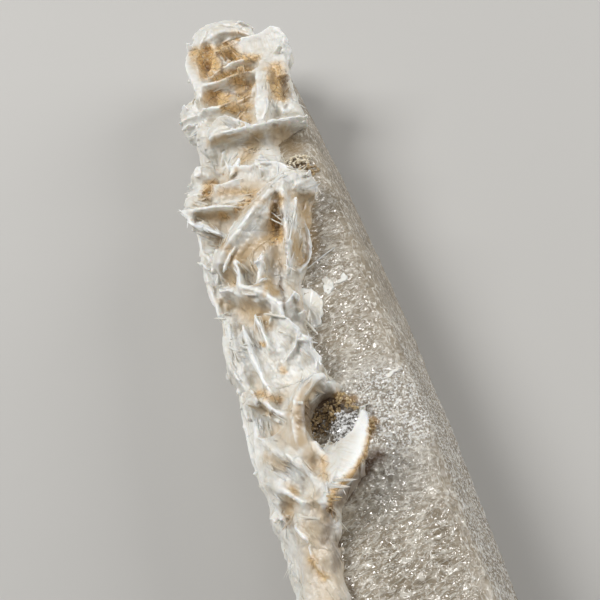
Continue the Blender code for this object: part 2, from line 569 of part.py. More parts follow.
def crust_bed():
    """The crust's bed: a strip of the shaft's skin, thickened outwards, without its blades."""
    band = np.array(CRUST_BAND)
    rings = []
    for along in rows_between(band[0, 0], band[-1, 0], CRUST_ROW_STEP):
        toe, on_face, on_side, end_share = [np.interp(along, band[:, 0], band[:, k]) for k in range(1, 5)]
        points, outward = along_path(left_path(along, toe, end_share), BED_POINTS)
        shares = np.linspace(0.0, 1.0, BED_POINTS)
        stops = [BED_THIN * on_face, on_face, on_face, on_side, on_side, BED_THIN * on_side]
        thickness = np.interp(shares, BED_SHARES, stops)
        outer = []
        for point, way, thick in zip(points, outward, thickness):
            thick += LUMP_SWELL * swell((point[0], along, point[1]), "bed") * min(1.0, thick)
            x, z = point + way * thick
            outer.append((x, along, z))
        inner = []
        for index in BED_INNER:
            x, z = points[index] - outward[index] * CRUST_ROOT
            inner.append((x, along, z))
        rings.append(outer + inner)
    return mesh_object("form_bed", rings)


def put_away(objects, name):
    """Collect shaping forms in a hidden collection, to serve a Boolean as one operand."""
    group = bpy.data.collections.new(name)
    bpy.context.scene.collection.children.link(group)
    for form in objects:
        form.hide_render = True
        form.display_type = "WIRE"
        for holder in form.users_collection:
            holder.objects.unlink(form)
        group.objects.link(form)
    return group


def add_boolean(target, operation, group):
    modifier = target.modifiers.new(operation.lower(), "BOOLEAN")
    modifier.operation = operation
    modifier.operand_type = "COLLECTION"
    modifier.collection = group
    modifier.solver = "EXACT"


def settle(target):
    """Apply the modifiers, and drop small loose bodies and inner shells that they leave."""
    depsgraph = bpy.context.evaluated_depsgraph_get()
    mesh = bpy.data.meshes.new_from_object(target.evaluated_get(depsgraph))
    target.modifiers.clear()
    shape = bmesh.new()
    shape.from_mesh(mesh)
    waiting = set(shape.verts)
    bodies = []
    while waiting:
        stack = [waiting.pop()]
        body = []
        while stack:
            vert = stack.pop()
            body.append(vert)
            for edge in vert.link_edges:
                other = edge.other_vert(vert)
                if other in waiting:
                    waiting.remove(other)
                    stack.append(other)
        bodies.append(body)
    bodies.sort(key=len)
    for body in bodies[:-1]:
        bmesh.ops.delete(shape, geom=body, context="VERTS")
    bmesh.ops.triangulate(shape, faces=shape.faces[:])
    shape.to_mesh(mesh)
    shape.free()
    target.data = mesh


def thin_out(target, triangles):
    """Weld the forms into one skin of even fineness, then keep only the faces that its shape needs."""
    remesh = target.modifiers.new("weld", "REMESH")
    remesh.mode = "VOXEL"
    remesh.voxel_size = SKIN_VOXEL * MM
    settle(target)
    decimate = target.modifiers.new("facets", "DECIMATE")
    decimate.ratio = triangles / len(target.data.polygons)
    settle(target)


def build_shaft():
    """The shaft, with the etched pit under the crust's pocket."""
    shaft = shaft_solid("shaft")
    cut_point(shaft)
    add_boolean(shaft, "DIFFERENCE", put_away([lump_solid(SHAFT_PIT)], "shaft_cuts"))
    settle(shaft)
    return shaft


def face_height(across, along):
    """Height of the shaft's front face at a place."""
    corners = section_corners(along)[[4, 3, 2]]
    return float(np.interp(across, corners[:, 0], corners[:, 1]))


def build_druse():
    """The pocket's druse: a thin disc over the shaft's face, its top a lattice of small points."""
    shape = bmesh.new()
    reach = [math.ceil(half / (0.5 * DRUSE_SPACING)) for half in DRUSE_HALF_SIZE]
    spots = {}
    for column in range(-reach[0], reach[0] + 1):
        for row in range(-reach[1], reach[1] + 1):
            x = 0.5 * DRUSE_SPACING * column
            y = 0.5 * DRUSE_SPACING * row
            if (x / DRUSE_HALF_SIZE[0]) ** 2 + (y / DRUSE_HALF_SIZE[1]) ** 2 > 1.0:
                continue
            across = DRUSE_MIDDLE[0] + x
            along = DRUSE_MIDDLE[1] + y
            floor = face_height(across, along) + NODE_GAP + ETCH_SWELL
            is_point = column % 2 == 0 and row % 2 == 0
            tall = 0.0
            lean = 0.0
            if is_point:
                tall = DRUSE_POINT * (1.0 + DRUSE_UNEVEN * swell((x, y, 0.0), "druse_height"))
                lean = DRUSE_LEAN * swell((x, y, 0.0), "druse_lean")
            top = shape.verts.new(Vector((across + lean, along + lean, floor + DRUSE_BED + tall)) * MM)
            bottom = shape.verts.new(Vector((across, along, floor)) * MM)
            spots[column, row] = (top, bottom)
    for (column, row), (top, bottom) in spots.items():
        square = [(column, row), (column + 1, row), (column + 1, row + 1), (column, row + 1)]
        if all(corner in spots for corner in square):
            shape.faces.new([spots[corner][0] for corner in square])
            shape.faces.new([spots[corner][1] for corner in reversed(square)])
    loose = [vert for vert in shape.verts if not vert.link_faces]
    bmesh.ops.delete(shape, geom=loose, context="VERTS")
    partner = {}
    for top, bottom in spots.values():
        if top.is_valid and bottom.is_valid:
            partner[top] = bottom
    rims = [edge for edge in shape.edges if edge.is_boundary and edge.verts[0] in partner]
    for edge in rims:
        face = edge.link_faces[0]
        loop = next(loop for loop in face.loops if loop.edge == edge)
        start, end = loop.vert, loop.link_loop_next.vert
        shape.faces.new((end, start, partner[start], partner[end]))
    bmesh.ops.triangulate(shape, faces=shape.faces[:])
    bmesh.ops.recalc_face_normals(shape, faces=shape.faces[:])
    mesh = bpy.data.meshes.new("hollow_druse")
    shape.to_mesh(mesh)
    shape.free()
    druse = bpy.data.objects.new("hollow_druse", mesh)
    bpy.context.scene.collection.objects.link(druse)
    return druse


def build_crust(shaft_cutter):
    crust = crust_bed()
    crust.name = "blade_crust"
    lumps = put_away([lump_solid(lump) for lump in LUMPS], "crust_lumps")
    hollows = put_away([lump_solid(hollow) for hollow in HOLLOWS], "crust_hollows")
    fins = put_away([fin_solid(fin) for fin in FINS], "crust_fins")
    pocket = put_away([lump_solid(POCKET), shaft_cutter], "crust_cuts")
    add_boolean(crust, "UNION", lumps)
    add_boolean(crust, "DIFFERENCE", hollows)
    add_boolean(crust, "UNION", fins)
    settle(crust)
    thin_out(crust, CRUST_TRIANGLES)
    add_boolean(crust, "DIFFERENCE", pocket)
    settle(crust)
    return crust


def finish(piece):
    """Set a piece's place, its smooth shading and its material."""
    piece.data.transform(Matrix.Translation(Vector((*BOX_SHIFT, 0.0)) * MM))
    piece.data.shade_smooth()
    piece.data.set_sharp_from_angle(angle=math.radians(SMOOTH_UNDER[piece.name]))
    colour, roughness, metallic = FINISHES[piece.name]
    material = bpy.data.materials.new(piece.name + "_finish")
    material.use_nodes = True
    shader = material.node_tree.nodes["Principled BSDF"]
    shader.inputs["Base Color"].default_value = (*colour, 1.0)
    shader.inputs["Roughness"].default_value = roughness
    shader.inputs["Metallic"].default_value = metallic
    piece.data.materials.clear()
    piece.data.materials.append(material)


def main():
    for old in list(bpy.data.objects):
        bpy.data.objects.remove(old, do_unlink=True)
    cutter = shaft_solid("form_shaft_gap", grow=NODE_GAP + GAP_SPARE)
    for piece in (build_shaft(), build_crust(cutter), build_druse()):
        finish(piece)


main()
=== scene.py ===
# %% [markdown]
# # A quartz floater, dressed
# A floater is a quartz crystal that grew loose in soft clay, touching no rock, so it is finished on
# every side. This one is a long shaft whose faces are etched dull, with a crust of white blades grown
# down one side and round its thin end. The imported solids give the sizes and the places; this script
# gives the fine surface, the finishes, a floor, a light and a camera.

# %% Load the frame
import math
from collections import namedtuple
from functools import reduce
from itertools import product

import bmesh
import bpy
import numpy as np
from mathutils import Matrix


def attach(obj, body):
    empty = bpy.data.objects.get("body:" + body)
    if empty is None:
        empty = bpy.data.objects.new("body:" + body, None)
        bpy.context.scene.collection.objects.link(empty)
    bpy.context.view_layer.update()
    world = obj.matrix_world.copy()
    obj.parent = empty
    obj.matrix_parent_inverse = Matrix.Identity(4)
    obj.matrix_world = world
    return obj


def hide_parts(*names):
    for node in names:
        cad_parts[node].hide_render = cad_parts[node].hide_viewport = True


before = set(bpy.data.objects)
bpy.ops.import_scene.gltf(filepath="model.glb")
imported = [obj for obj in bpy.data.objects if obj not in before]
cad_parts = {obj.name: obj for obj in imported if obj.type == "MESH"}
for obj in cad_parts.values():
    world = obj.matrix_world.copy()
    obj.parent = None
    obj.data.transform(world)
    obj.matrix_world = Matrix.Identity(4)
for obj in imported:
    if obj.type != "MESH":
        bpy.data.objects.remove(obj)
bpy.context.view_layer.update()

import openvdb
from mathutils import Matrix, Vector
from mathutils.kdtree import KDTree

MM = 0.001
print("nodes:", sorted(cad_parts))

# %% [markdown]
# ## The spine frame
# Everything is written in millimetres along the shaft's spine: across is X, along is Y, height is Z.
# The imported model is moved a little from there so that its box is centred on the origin, so each
# mesh made here is moved by the same amount when its points are stored in metres.

# %% Driving dimensions of the shaft, in mm
BOX_SHIFT = np.array([0.985, -0.16, 0.0])
THICK_END = -48.0
THIN_END = 45.5
THICK_HALF = 9.5
TAPER = 4.3
TAPER_POWER = 2.6
LEFT_SHARE = 0.92
HEIGHT_SHARE = 1.44
THIN_TIP = 4.0
APEX = np.array([2.2, 7.6])              # across and height of the thick end's point
POINT_FACES = [                          # turn and steepness of its six faces
    (0, 0.76), (58, 1.10), (121, 0.80), (180, 1.30), (239, 0.84), (300, 1.05)]
MIDDLE = (0.4, 0.45)                     # the section shrinks towards here at the thin end
SECTION = [(1, 0.60, 0.0), (1, 1.0, 0.46), (1, 0.70, 0.97),     # side, share of the half width and share
           (-1, 0.62, 0.96), (-1, 1.0, 0.48), (-1, 0.60, 0.0)]  # of the height, from low right to low left
CROWN_AT = 0.05


def right_half(along):
    """Half width of the shaft to the right of its spine."""
    share = np.clip((along - THICK_END) / (THIN_END - THICK_END), 0.0, 1.0)
    return THICK_HALF - TAPER * share ** TAPER_POWER


def crown(along):
    """Height of the highest line of the front face."""
    return HEIGHT_SHARE * right_half(along)


def section_corners(along):
    """The six corners and the crown of the section at a place along the shaft, as (x, z)."""
    corners = [(side * width * right_half(along) * (1.0 if side > 0 else LEFT_SHARE), tall * crown(along))
               for side, width, tall in SECTION]
    corners.insert(3, (CROWN_AT * right_half(along), crown(along)))
    middle = np.array([MIDDLE[0], MIDDLE[1] * crown(along)])
    fullness = max(0.12, min(max((THIN_END - along) / THIN_TIP, 0.0), 1.0) ** 0.6)
    return middle + (np.array(corners) - middle) * fullness


def place(across, along, lift):
    """A place on the crust: lift is its height over the crown of the shaft's front face."""
    return np.array([across, along, crown(along) + lift])


# %% [markdown]
# ## Smooth random numbers
# Growth and etching are irregular but never jumpy, so nearly every surface here is moved by gradient
# noise: random slopes at the corners of a lattice, blended in between. Writing it with arrays makes a
# million values in about a second, and a fixed seed gives the same stone each time.

# %% Gradient noise on arrays
def hashed(cell, seed, channel):
    """A whole number that looks random for each lattice cell."""
    mixed = cell[..., 0] * 73856093 ^ cell[..., 1] * 19349663 ^ cell[..., 2] * 83492791
    mixed = (mixed ^ (seed * 2654435 + channel * 97531)) & 0xFFFFFFFF
    for _ in range(2):
        mixed = ((mixed ^ (mixed >> 16)) * 0x45D9F3B) & 0xFFFFFFFF
    return (mixed ^ (mixed >> 16)).astype(np.float64) / 0xFFFFFFFF * 2.0 - 1.0


def corners_of_cell():
    """The eight corners of a lattice cell."""
    return (np.array(corner) for corner in product((0, 1), repeat=3))


def noise(points, scale, seed):
    """Smooth random numbers of about -1 to 1 at points in mm; scale is a size or one for each axis."""
    grid = np.asarray(points, float) / scale + 0.37 * seed
    cell = np.floor(grid).astype(np.int64)
    part = grid - cell
    fade = part ** 3 * (part * (part * 6.0 - 15.0) + 10.0)
    total = np.zeros(grid.shape[:-1])
    for corner in corners_of_cell():
        away = part - corner
        slope = sum(hashed(cell + corner, seed, channel) * away[..., channel] for channel in range(3))
        total += slope * np.prod(np.where(corner == 1, fade, 1.0 - fade), axis=-1)
    return 1.6 * total


def ridges(points, scale, seed):
    """The same noise folded into sharp crests: 1 on a crest, falling to 0 and below between them."""
    return 1.0 - 2.2 * np.abs(noise(points, scale, seed))


print("noise at the origin:", round(float(noise(np.zeros((1, 3)) + 0.4, 1.0, 1)[0]), 3))

# %% Helpers for directions, lines and meshes
def unit(vectors):
    return vectors / np.maximum(np.linalg.norm(vectors, axis=-1, keepdims=True), 1e-9)


def run_of(points):
    """The way covered from the first point to each."""
    return np.concatenate([[0.0], np.cumsum(np.linalg.norm(np.diff(points, axis=0), axis=1))])


def on_line(knots, lengths, spots):
    """Points in a plane at spots along the line through the knots, which lie at those lengths."""
    return np.stack([np.interp(spots, lengths, knots[:, axis]) for axis in (0, 1)], axis=1)


def grid_faces(rows, columns):
    """Quads of a lattice that closes across its columns, facing outwards."""
    index = np.arange(rows * columns).reshape(rows, columns)
    following = np.roll(index, -1, axis=1)
    return np.stack([index[:-1], index[1:], following[1:], following[:-1]], axis=-1).reshape(-1, 4)


def tube(rings, start, end):
    """Points of rings with a point at each end, and the faces: quads, then a fan for each end."""
    rows, columns = rings.shape[:2]
    first = np.arange(columns)
    last = first + (rows - 1) * columns
    fans = [np.stack([first, np.roll(first, -1), np.full(columns, rows * columns)], 1),
            np.stack([np.roll(last, -1), last, np.full(columns, rows * columns + 1)], 1)]
    return np.vstack([rings.reshape(-1, 3), [start], [end]]), [grid_faces(rows, columns), *fans]


def turned_over(faces):
    """The faces of a tube, seen from their other side."""
    quads, *fans = faces
    return [quads[:, ::-1], *(fan[:, [1, 0, 2]] for fan in fans)]


def mesh_piece(name, points, faces):
    """A mesh object from points in mm in the spine frame, with smooth shading."""
    mesh = bpy.data.meshes.new(name)
    points = (np.asarray(points) + BOX_SHIFT) * MM
    mesh.vertices.add(len(points))
    mesh.vertices.foreach_set("co", points.astype(np.float32).ravel())
    loops = np.concatenate([part.ravel() for part in faces])
    sizes = np.concatenate([np.full(len(part), part.shape[1]) for part in faces])
    mesh.loops.add(len(loops))
    mesh.loops.foreach_set("vertex_index", loops.astype(np.int32))
    mesh.polygons.add(len(sizes))
    mesh.polygons.foreach_set("loop_start", np.concatenate([[0], np.cumsum(sizes)[:-1]]).astype(np.int32))
    mesh.update(calc_edges=True)
    mesh.validate()
    mesh.shade_smooth()
    return linked(name, mesh)


def linked(name, data):
    """An object of that name and data, in the scene."""
    made = bpy.data.objects.new(name, data)
    bpy.context.scene.collection.objects.link(made)
    return made


def read(items, what, width=3):
    """What Blender stores of each item, as rows of numbers."""
    flat = np.empty(len(items) * width, np.float32)
    items.foreach_get(what, flat)
    return flat.reshape(-1, width)


def points_of(piece):
    """A piece's points in mm in the spine frame."""
    return read(piece.data.vertices, "co") / MM - BOX_SHIFT


def normals_of(piece):
    return read(piece.data.vertex_normals, "vector")


def keep(piece, name, values):
    """Store a number or a direction for each point of a piece, for its material or for the sowing."""
    values = np.asarray(values, np.float32)
    kind, what = ("FLOAT", "value") if values.ndim == 1 else ("FLOAT_VECTOR", "vector")
    attribute = piece.data.attributes.get(name) or piece.data.attributes.new(name, kind, "POINT")
    attribute.data.foreach_set(what, values.ravel())


def triangles_of(piece):
    return sum(len(polygon.vertices) - 2 for polygon in piece.data.polygons)

# %% [markdown]
# ## The shaft's skin
# The real shaft is one crystal with six long faces and a six-sided point. It could be a boxy solid
# with a bump texture, but etching shows in its outline and in every glint, so its skin is a fine
# lattice: rows along the spine, columns round the section, closest together where the face is bare.

# %% Rows and columns of the skin
def spaced(stops):
    """Places from stop to stop, each stretch at its own spacing: [(from, spacing), ..., (end, None)]."""
    places = []
    for (start, step), (end, _) in zip(stops, stops[1:]):
        places += list(np.linspace(start, end, max(2, round((end - start) / step) + 1))[:-1])
    return np.array(places + [stops[-1][0]])


SKIN_ROWS = spaced([(THICK_END + 0.12, 0.32), (-33.0, 0.17), (40.0, 0.5), (THIN_END, None)])
# round the section, in corners: 0 is low right, 2 and 4 are the front face's edges, 7 is 0 again
SKIN_COLUMNS = spaced([(0.0, 0.06), (1.0, 0.026), (2.0, 0.024), (3.0, 0.028), (3.75, 0.06), (5.0, 0.07),
                       (6.0, 0.12), (7.0, None)])[:-1]
CORNER_SOFT = 0.85         # mm over which the etching has rounded the shaft's edges
RIGHT_SOFT = 1.7           # and the front face's right edge, which is the most worn
TAPS = (1, 2, 3, 4, 3, 2, 1)   # weights of the points that are averaged there
TINY = 1e-6                # keeps a division from a zero
print("skin:", len(SKIN_ROWS), "rows and", len(SKIN_COLUMNS), "columns")


def outline_at(along, columns):
    """Points of the rounded section, averaged over a short way round it so that its edges are soft."""
    corners = section_corners(along)
    loop = np.vstack([corners, corners[:1]])
    lengths = run_of(loop)
    spots = np.interp(columns, np.arange(8), lengths)
    worn = np.interp(columns, [0.6, 1.6, 2.4, 3.2], [0.0, 1.0, 1.0, 0.0])
    soft = CORNER_SOFT + (RIGHT_SOFT - CORNER_SOFT) * worn
    total = np.zeros((len(columns), 2))
    for tap, weight in zip(np.linspace(-1.0, 1.0, len(TAPS)), TAPS):
        wrapped = (spots + tap * soft) % lengths[-1]
        total += weight * on_line(loop, lengths, wrapped)
    return total / sum(TAPS), spots


def cut_to_point(points, along):
    """Draw a row in towards the apex, so that the thick end ends in six sloping faces."""
    away = points - APEX
    share = np.ones(len(points))
    for turn, slope in POINT_FACES:
        angle = math.radians(turn)
        reach = away[:, 0] * math.cos(angle) + away[:, 1] * math.sin(angle)
        limit = slope * (along - THICK_END) / np.maximum(reach, TINY)
        share = np.where(reach > TINY, np.minimum(share, limit), share)
    return APEX + away * share[:, None]


skin = np.zeros((len(SKIN_ROWS), len(SKIN_COLUMNS), 3))
round_way = np.zeros((len(SKIN_ROWS), len(SKIN_COLUMNS)))
for row, along in enumerate(SKIN_ROWS):
    section, round_way[row] = outline_at(along, SKIN_COLUMNS)
    skin[row, :, 1] = along
    skin[row, :, [0, 2]] = cut_to_point(section, along).T


def grid_normals(grid):
    """Outward directions of a lattice that closes on itself across its columns."""
    across = np.roll(grid, -1, axis=1) - np.roll(grid, 1, axis=1)
    along = np.gradient(grid, axis=0)
    return unit(np.cross(along, across))


# %% [markdown]
# ## Etching
# Acid water has eaten the faces. On the front face it left short wavy ridges, about half a millimetre
# apart, that run across the shaft and a little uphill; on the right side face it left fine grooves
# along the shaft; in the thick half it left pits and a sugary patch. Each is noise, stretched along
# the way that it runs and bent by a slower noise so that no two ridges are parallel.

# %% Relief of the shaft
RIDGE_RUN = math.radians(15)        # the way the ridges run, from X towards Y
SUGAR_PATCH = (2.2, -12.0, 5.5, 9.0)   # across, along and the two half sizes of the sugary patch
GLITTER_BAND = (3.4, -10.5, 5.0, 5.5)  # and of the part that glitters most
GROOVE = (0.34, 5.0)                # width and length in mm of the grooves on the right side


def turned(points, angle):
    """Points turned about Z, so that a pattern can run at an angle."""
    c, s = math.cos(angle), math.sin(angle)
    return np.stack([points[..., 0] * c + points[..., 1] * s, points[..., 1] * c - points[..., 0] * s,
                     points[..., 2]], axis=-1)


def soft_step(low, high, values):
    share = np.clip((values - low) / (high - low), 0.0, 1.0)
    return share * share * (3.0 - 2.0 * share)


def near_spot(points, spot):
    """1 inside an oval on the front face, falling to 0 at its edge."""
    across, along, half_across, half_along = spot
    distance = np.hypot((points[..., 0] - across) / half_across, (points[..., 1] - along) / half_along)
    return 1.0 - soft_step(0.55, 1.1, distance)


normals = grid_normals(skin)
warp = np.stack([noise(skin, 3.2, 11), noise(skin, 3.2, 12), 0.0 * round_way], axis=-1)
run = turned(skin, RIDGE_RUN) * (1, 1, 0) + 0.55 * warp
on_front = soft_step(0.55, 0.85, normals[..., 2])
on_right = soft_step(0.35, 0.75, normals[..., 0]) * (1.0 - on_front)
worms = ridges(run, (1.3, 0.40, 1.0), 21) + 0.7 * ridges(run + 9.1, (0.8, 0.36, 1.0), 22)
pits = ridges(skin, 0.8, 24) * ridges(skin, 0.45, 25)
sugar = noise(skin, 0.42, 26)
patch = near_spot(skin, SUGAR_PATCH)
groove_sheet = np.stack([round_way / GROOVE[0], skin[..., 1] / GROOVE[1], 0.0 * round_way], axis=-1)
grooves = noise(groove_sheet, 1.0, 27) + 0.5 * noise(groove_sheet * (2.1, 1.7, 1.0), 1.0, 28)
relief = 0.14 * noise(skin, 6.5, 4) + 0.06 * noise(skin, 2.0, 29)
relief += on_front * (0.07 * worms * (1.0 - 0.5 * patch) + 0.06 * pits + 0.17 * patch * sugar)
relief += on_right * (0.05 * grooves + 0.06 * ridges(run, (1.3, 0.5, 1.0), 33)
                      + 0.05 * noise(skin, 0.6, 30))
relief += (1.0 - on_front - on_right) * 0.04 * noise(skin, 0.9, 31)
on_back = soft_step(-0.9, -0.98, normals[..., 2])
relief *= 1.0 - on_back
shaft_points = skin + normals * relief[..., None]
shaft_points[..., 2] = np.maximum(shaft_points[..., 2], 0.0)
print("relief of the shaft: %.2f to %.2f mm" % (relief.min(), relief.max()))


# %% The shaft's mesh
etched_deep = soft_step(0.55, -0.55, worms) * (0.35 + 0.65 * on_front)
glitter = np.maximum(near_spot(skin, GLITTER_BAND), 0.8 * on_right * soft_step(6.0, -12.0, skin[..., 1]))
near_edge = np.broadcast_to(1.0 - soft_step(2.0, 2.5, SKIN_COLUMNS), etched_deep.shape)
shaft_skin = mesh_piece("etched_shaft", *tube(shaft_points, (APEX[0], THICK_END, APEX[1]),
                                              shaft_points[-1].mean(axis=0)))
marks = {"etched_deep": etched_deep, "near_edge": near_edge, "glitter": glitter, "sugar": patch}
for name, values in marks.items():
    keep(shaft_skin, name, np.append(values.ravel(), [0.0, 0.0]))    # none at the two end points
print("shaft skin:", triangles_of(shaft_skin), "triangles")

# %% [markdown]
# ## The crust as a field
# The crust is a maze of thin sheets that grew through each other and were then partly dissolved, so
# where two meet there is a soft web between them, and nothing is cut square. Booleans of meshes would
# leave knife-sharp joints. Here each form becomes a distance field on one fine lattice, negative
# inside; two fields are joined with a smooth minimum, which fills the corner between them, and the
# zero level is turned back into a mesh at the end.

# %% The lattice of the crust
FIELD_STEP = 0.137         # mm from lattice point to lattice point
FIELD_BAND = 7             # lattice steps on each side of a surface for which distances are kept
FIELD_LOW = np.floor(np.array([-12.6, -36.5, -0.3]) / FIELD_STEP).astype(int)
FIELD_HIGH = np.ceil(np.array([9.0, 49.8, 18.3]) / FIELD_STEP).astype(int)
FAR = FIELD_BAND * FIELD_STEP
field = np.full(FIELD_HIGH - FIELD_LOW, FAR, np.float32)
print("field:", field.shape, "%.1f million points" % (field.size / 1e6))


def block_of(points, faces):
    """The distance field of a closed mesh, on the part of the lattice that it needs."""
    scale = openvdb.createLinearTransform(voxelSize=FIELD_STEP)
    tree = openvdb.FloatGrid.createLevelSetFromPolygons(
        np.asarray(points, np.float32), quads=np.asarray(faces, np.uint32), transform=scale,
        halfWidth=FIELD_BAND)
    low, high = (np.array(corner) for corner in tree.evalActiveVoxelBoundingBox())
    low = np.maximum(low, FIELD_LOW)
    high = np.minimum(high + 1, FIELD_HIGH)
    block = np.empty(high - low, np.float32)
    tree.copyToArray(block, ijk=tuple(int(part) for part in low))
    return block, low


def closed_rings(rings):
    """A field block from rings of equal length, each end closed by a fan to its middle."""
    return block_of(*only_quads(*tube(rings, rings[0].mean(axis=0), rings[-1].mean(axis=0))))


def only_quads(points, faces):
    """A level set takes quads: a triangle becomes one whose last corner comes twice."""
    quads, *fans = faces
    return points, np.vstack([quads, *(np.column_stack([fan, fan[:, 2]]) for fan in fans)])


def window(low, shape):
    """The part of the whole field that a block covers."""
    start = low - FIELD_LOW
    return tuple(slice(a, a + b) for a, b in zip(start, shape))


def join_form(field, form, blend, sign=1.0):
    """Add a form to the field, with a fillet of about that many mm where they meet."""
    block, low = form
    part = field[window(low, block.shape)]
    mix = np.maximum(blend - np.abs(sign * part - block), 0.0) / blend
    part[...] = sign * (np.minimum(sign * part, block) - 0.25 * blend * mix * mix)


def cut_form(field, form, blend):
    """Take a form out of the field: seen inside out, that is adding it."""
    join_form(field, form, blend, -1.0)


WEB = 0.42                 # mm, the radius of the webs that fill the corners between the sheets


def level_mesh(block, low, level):
    """Points and quads of one level of a block of the field."""
    tree = openvdb.FloatGrid(background=FAR)
    tree.copyFromArray(np.ascontiguousarray(block), ijk=tuple(int(part) for part in low), tolerance=0.0)
    points, quads = tree.convertToQuads(isovalue=level)
    return points * FIELD_STEP, quads


def close_corners(field, radius):
    """Roll a ball of that radius over the outside: what it can't reach is filled, crests stay sharp."""
    points, quads = level_mesh(field, FIELD_LOW, radius)
    outer, low = block_of(points, quads)
    closed = np.full_like(field, FAR)
    closed[window(low, outer.shape)] = outer + radius
    return np.minimum(field, closed)


# %% [markdown]
# ## Bed, lumps and hollows
# The crust's bed is a strip of the shaft's skin, thickened outwards. Lumps swell from it and hollows
# are eaten into it. Both are uneven balls, so one function makes them all. The tables are text, which
# keeps them short: bars part a row's name and its groups of numbers, and a semicolon ends the row.

# %% Ball forms
Lump = namedtuple("Lump", "name centre radii turn", defaults=(0.0,))


def rows_of(text):
    """Rows of a table: the name first, then numbers and groups of numbers."""
    for row in text.split(";"):
        name, *groups = row.split("|")
        groups = [tuple(map(float, group.split())) for group in groups]
        yield name.strip(), *(group[0] if len(group) == 1 else group for group in groups)


def grid_of(text, width):
    """A table of numbers alone, with that many in a row."""
    return np.array(text.split(), float).reshape(-1, width)


LUMPS = [Lump(*row) for row in rows_of("""
    knob_body_far | -2 44.2 -2.6 | 3.8 3.2 4.4;  knob_body_left | -3.6 40.6 -2.2 | 3.2 4.6 4.2 | 6;
    knob_body_right | 2 42.2 -2.6 | 3.4 2.6 3.8;  knob_top_lump_a | -3 46.3 2.2 | 1.9 1.3 1.5 | 10;
    knob_top_lump_b | -0.2 46.1 2.3 | 1.7 1.3 1.4 | -20;  knob_side_lump | 5 38.9 1.4 | 0.9 1.3 1.3;
    left_lobe | -7.3 33.6 -0.6 | 2 2.7 2.6 | 8;  left_lobe_low | -6.5 29.2 -0.2 | 1.4 2.4 1.8 | 14;
    tan_block | 3.7 29.6 0.9 | 1 1.6 1.2 | 20;  fan_shoulder | -8.2 23.6 -0.6 | 1.3 1.7 1.6 | 20;
    spike_root | -9.4 19.4 -1 | 1.5 2.2 1.8;  nub | 1.9 16.2 1.7 | 1.6 1.4 1.3 | -25;
    nub_top | 1.7 17 2.5 | 1.3 0.9 0.6 | -20;  nub_neck | 0.9 16 2.9 | 1.4 1 1.1 | -20;
    sail_core | -4.6 28.3 2 | 1.7 1.1 1.2 | 8;  ridge_core | -3 12.6 2.3 | 3.2 1.1 1.7 | 38;
    ridge_foot | -7.3 9.2 1.1 | 1.5 2 1.5 | 30;  beige_hump | -4.1 9.4 1.3 | 2.8 2.5 1.6 | 30;
    outer_lobe_body | -8.6 -1 -1.4 | 1.6 4.2 3 | 2;  low_knob | -8.2 -6.6 0.2 | 1.1 1.1 1.3;
    lens_hump | -6.3 -13.9 1 | 2.7 3.4 1.7 | 12;  column_top | -5.7 -19.4 0.4 | 2 2.1 1.7;
    column_b | -6.2 -22.3 0.1 | 1.5 2.6 1.5 | -10;  column_c | -6.4 -25.8 0 | 1.7 2.8 1.5 | 5;
    column_d | -6.3 -29.2 -0.1 | 1.6 2.6 1.3 | -8;  column_e | -7 -32.2 -0.8 | 1.2 1.9 1.1""")]
HOLLOWS = [Lump(*row) for row in rows_of("""
    cell_scallop_left | -5 42.4 3.2 | 1.3 2.5 3.3 | 8;
    cell_scallop_right | -1.4 42.2 3.2 | 1.2 1.7 3.2 | 10;  cell_behind_plate | 1.2 43.3 3.2 | 1.3 1.3 3;
    cell_middle | -1.2 38 3 | 1.3 1 2.6 | 10;  cell_left | -4.8 35 3 | 1.3 1.5 2.4 | 10;
    cell_near | -2.9 30.6 3 | 1.5 1.4 2.4;  hollow_by_shaft | 4.2 33.6 2.4 | 1 3.2 2.3 | 10;
    recess | -3.4 24.6 2.6 | 3.2 1.6 2.3 | 12;  hollow_left | -8.6 19.6 1.6 | 0.9 1.5 1.6 | -20;
    hollow_triangle | -8.1 14.6 2.2 | 1.3 1.3 2.2 | 20;  hollow_dark | -1.5 12.8 3 | 0.8 1.7 1.5 | -12;
    hollow_upper_facet | -8.2 7.4 1.9 | 1.1 1.5 1.8;  hollow_lens | -7.1 -8 2.6 | 1.1 1 1.8 | 30""")]
POCKET_HOLLOWS = [Lump(*row) for row in rows_of("""
    pocket | -1.9 -10.4 1.4 | 2.5 2.9 4 | -24;  pocket_gap | 0.5 -8.2 1.8 | 1.7 2 3 | -30;
    druse_bowl | -0.9 -12 1.9 | 1.15 1.6 1.8 | -20""")]
BALL_ROUGHNESS = 0.18      # of the smallest radius


def ball_grid(rings=14, spokes=20):
    """Points and quads of a ball of radius 1, its poles closed by very small rings."""
    polar = np.linspace(0.04, math.pi - 0.04, rings)
    spoke = np.linspace(0.0, 2.0 * math.pi, spokes, endpoint=False)
    points = np.stack([np.outer(np.sin(polar), np.cos(spoke)), np.outer(np.sin(polar), np.sin(spoke)),
                       np.outer(np.cos(polar), np.ones(spokes))], axis=-1)
    return only_quads(*tube(points, (0.0, 0.0, 1.0), (0.0, 0.0, -1.0)))


BALL_POINTS, BALL_FACES = ball_grid()


def ball_form(ball):
    """The field block of a lump or a hollow."""
    points = turned(BALL_POINTS * np.array(ball.radii), -math.radians(ball.turn)) + place(*ball.centre)
    swell = BALL_ROUGHNESS * min(ball.radii) * noise(points, 1.6, 5)
    return block_of(points + BALL_POINTS * swell[:, None], BALL_FACES)

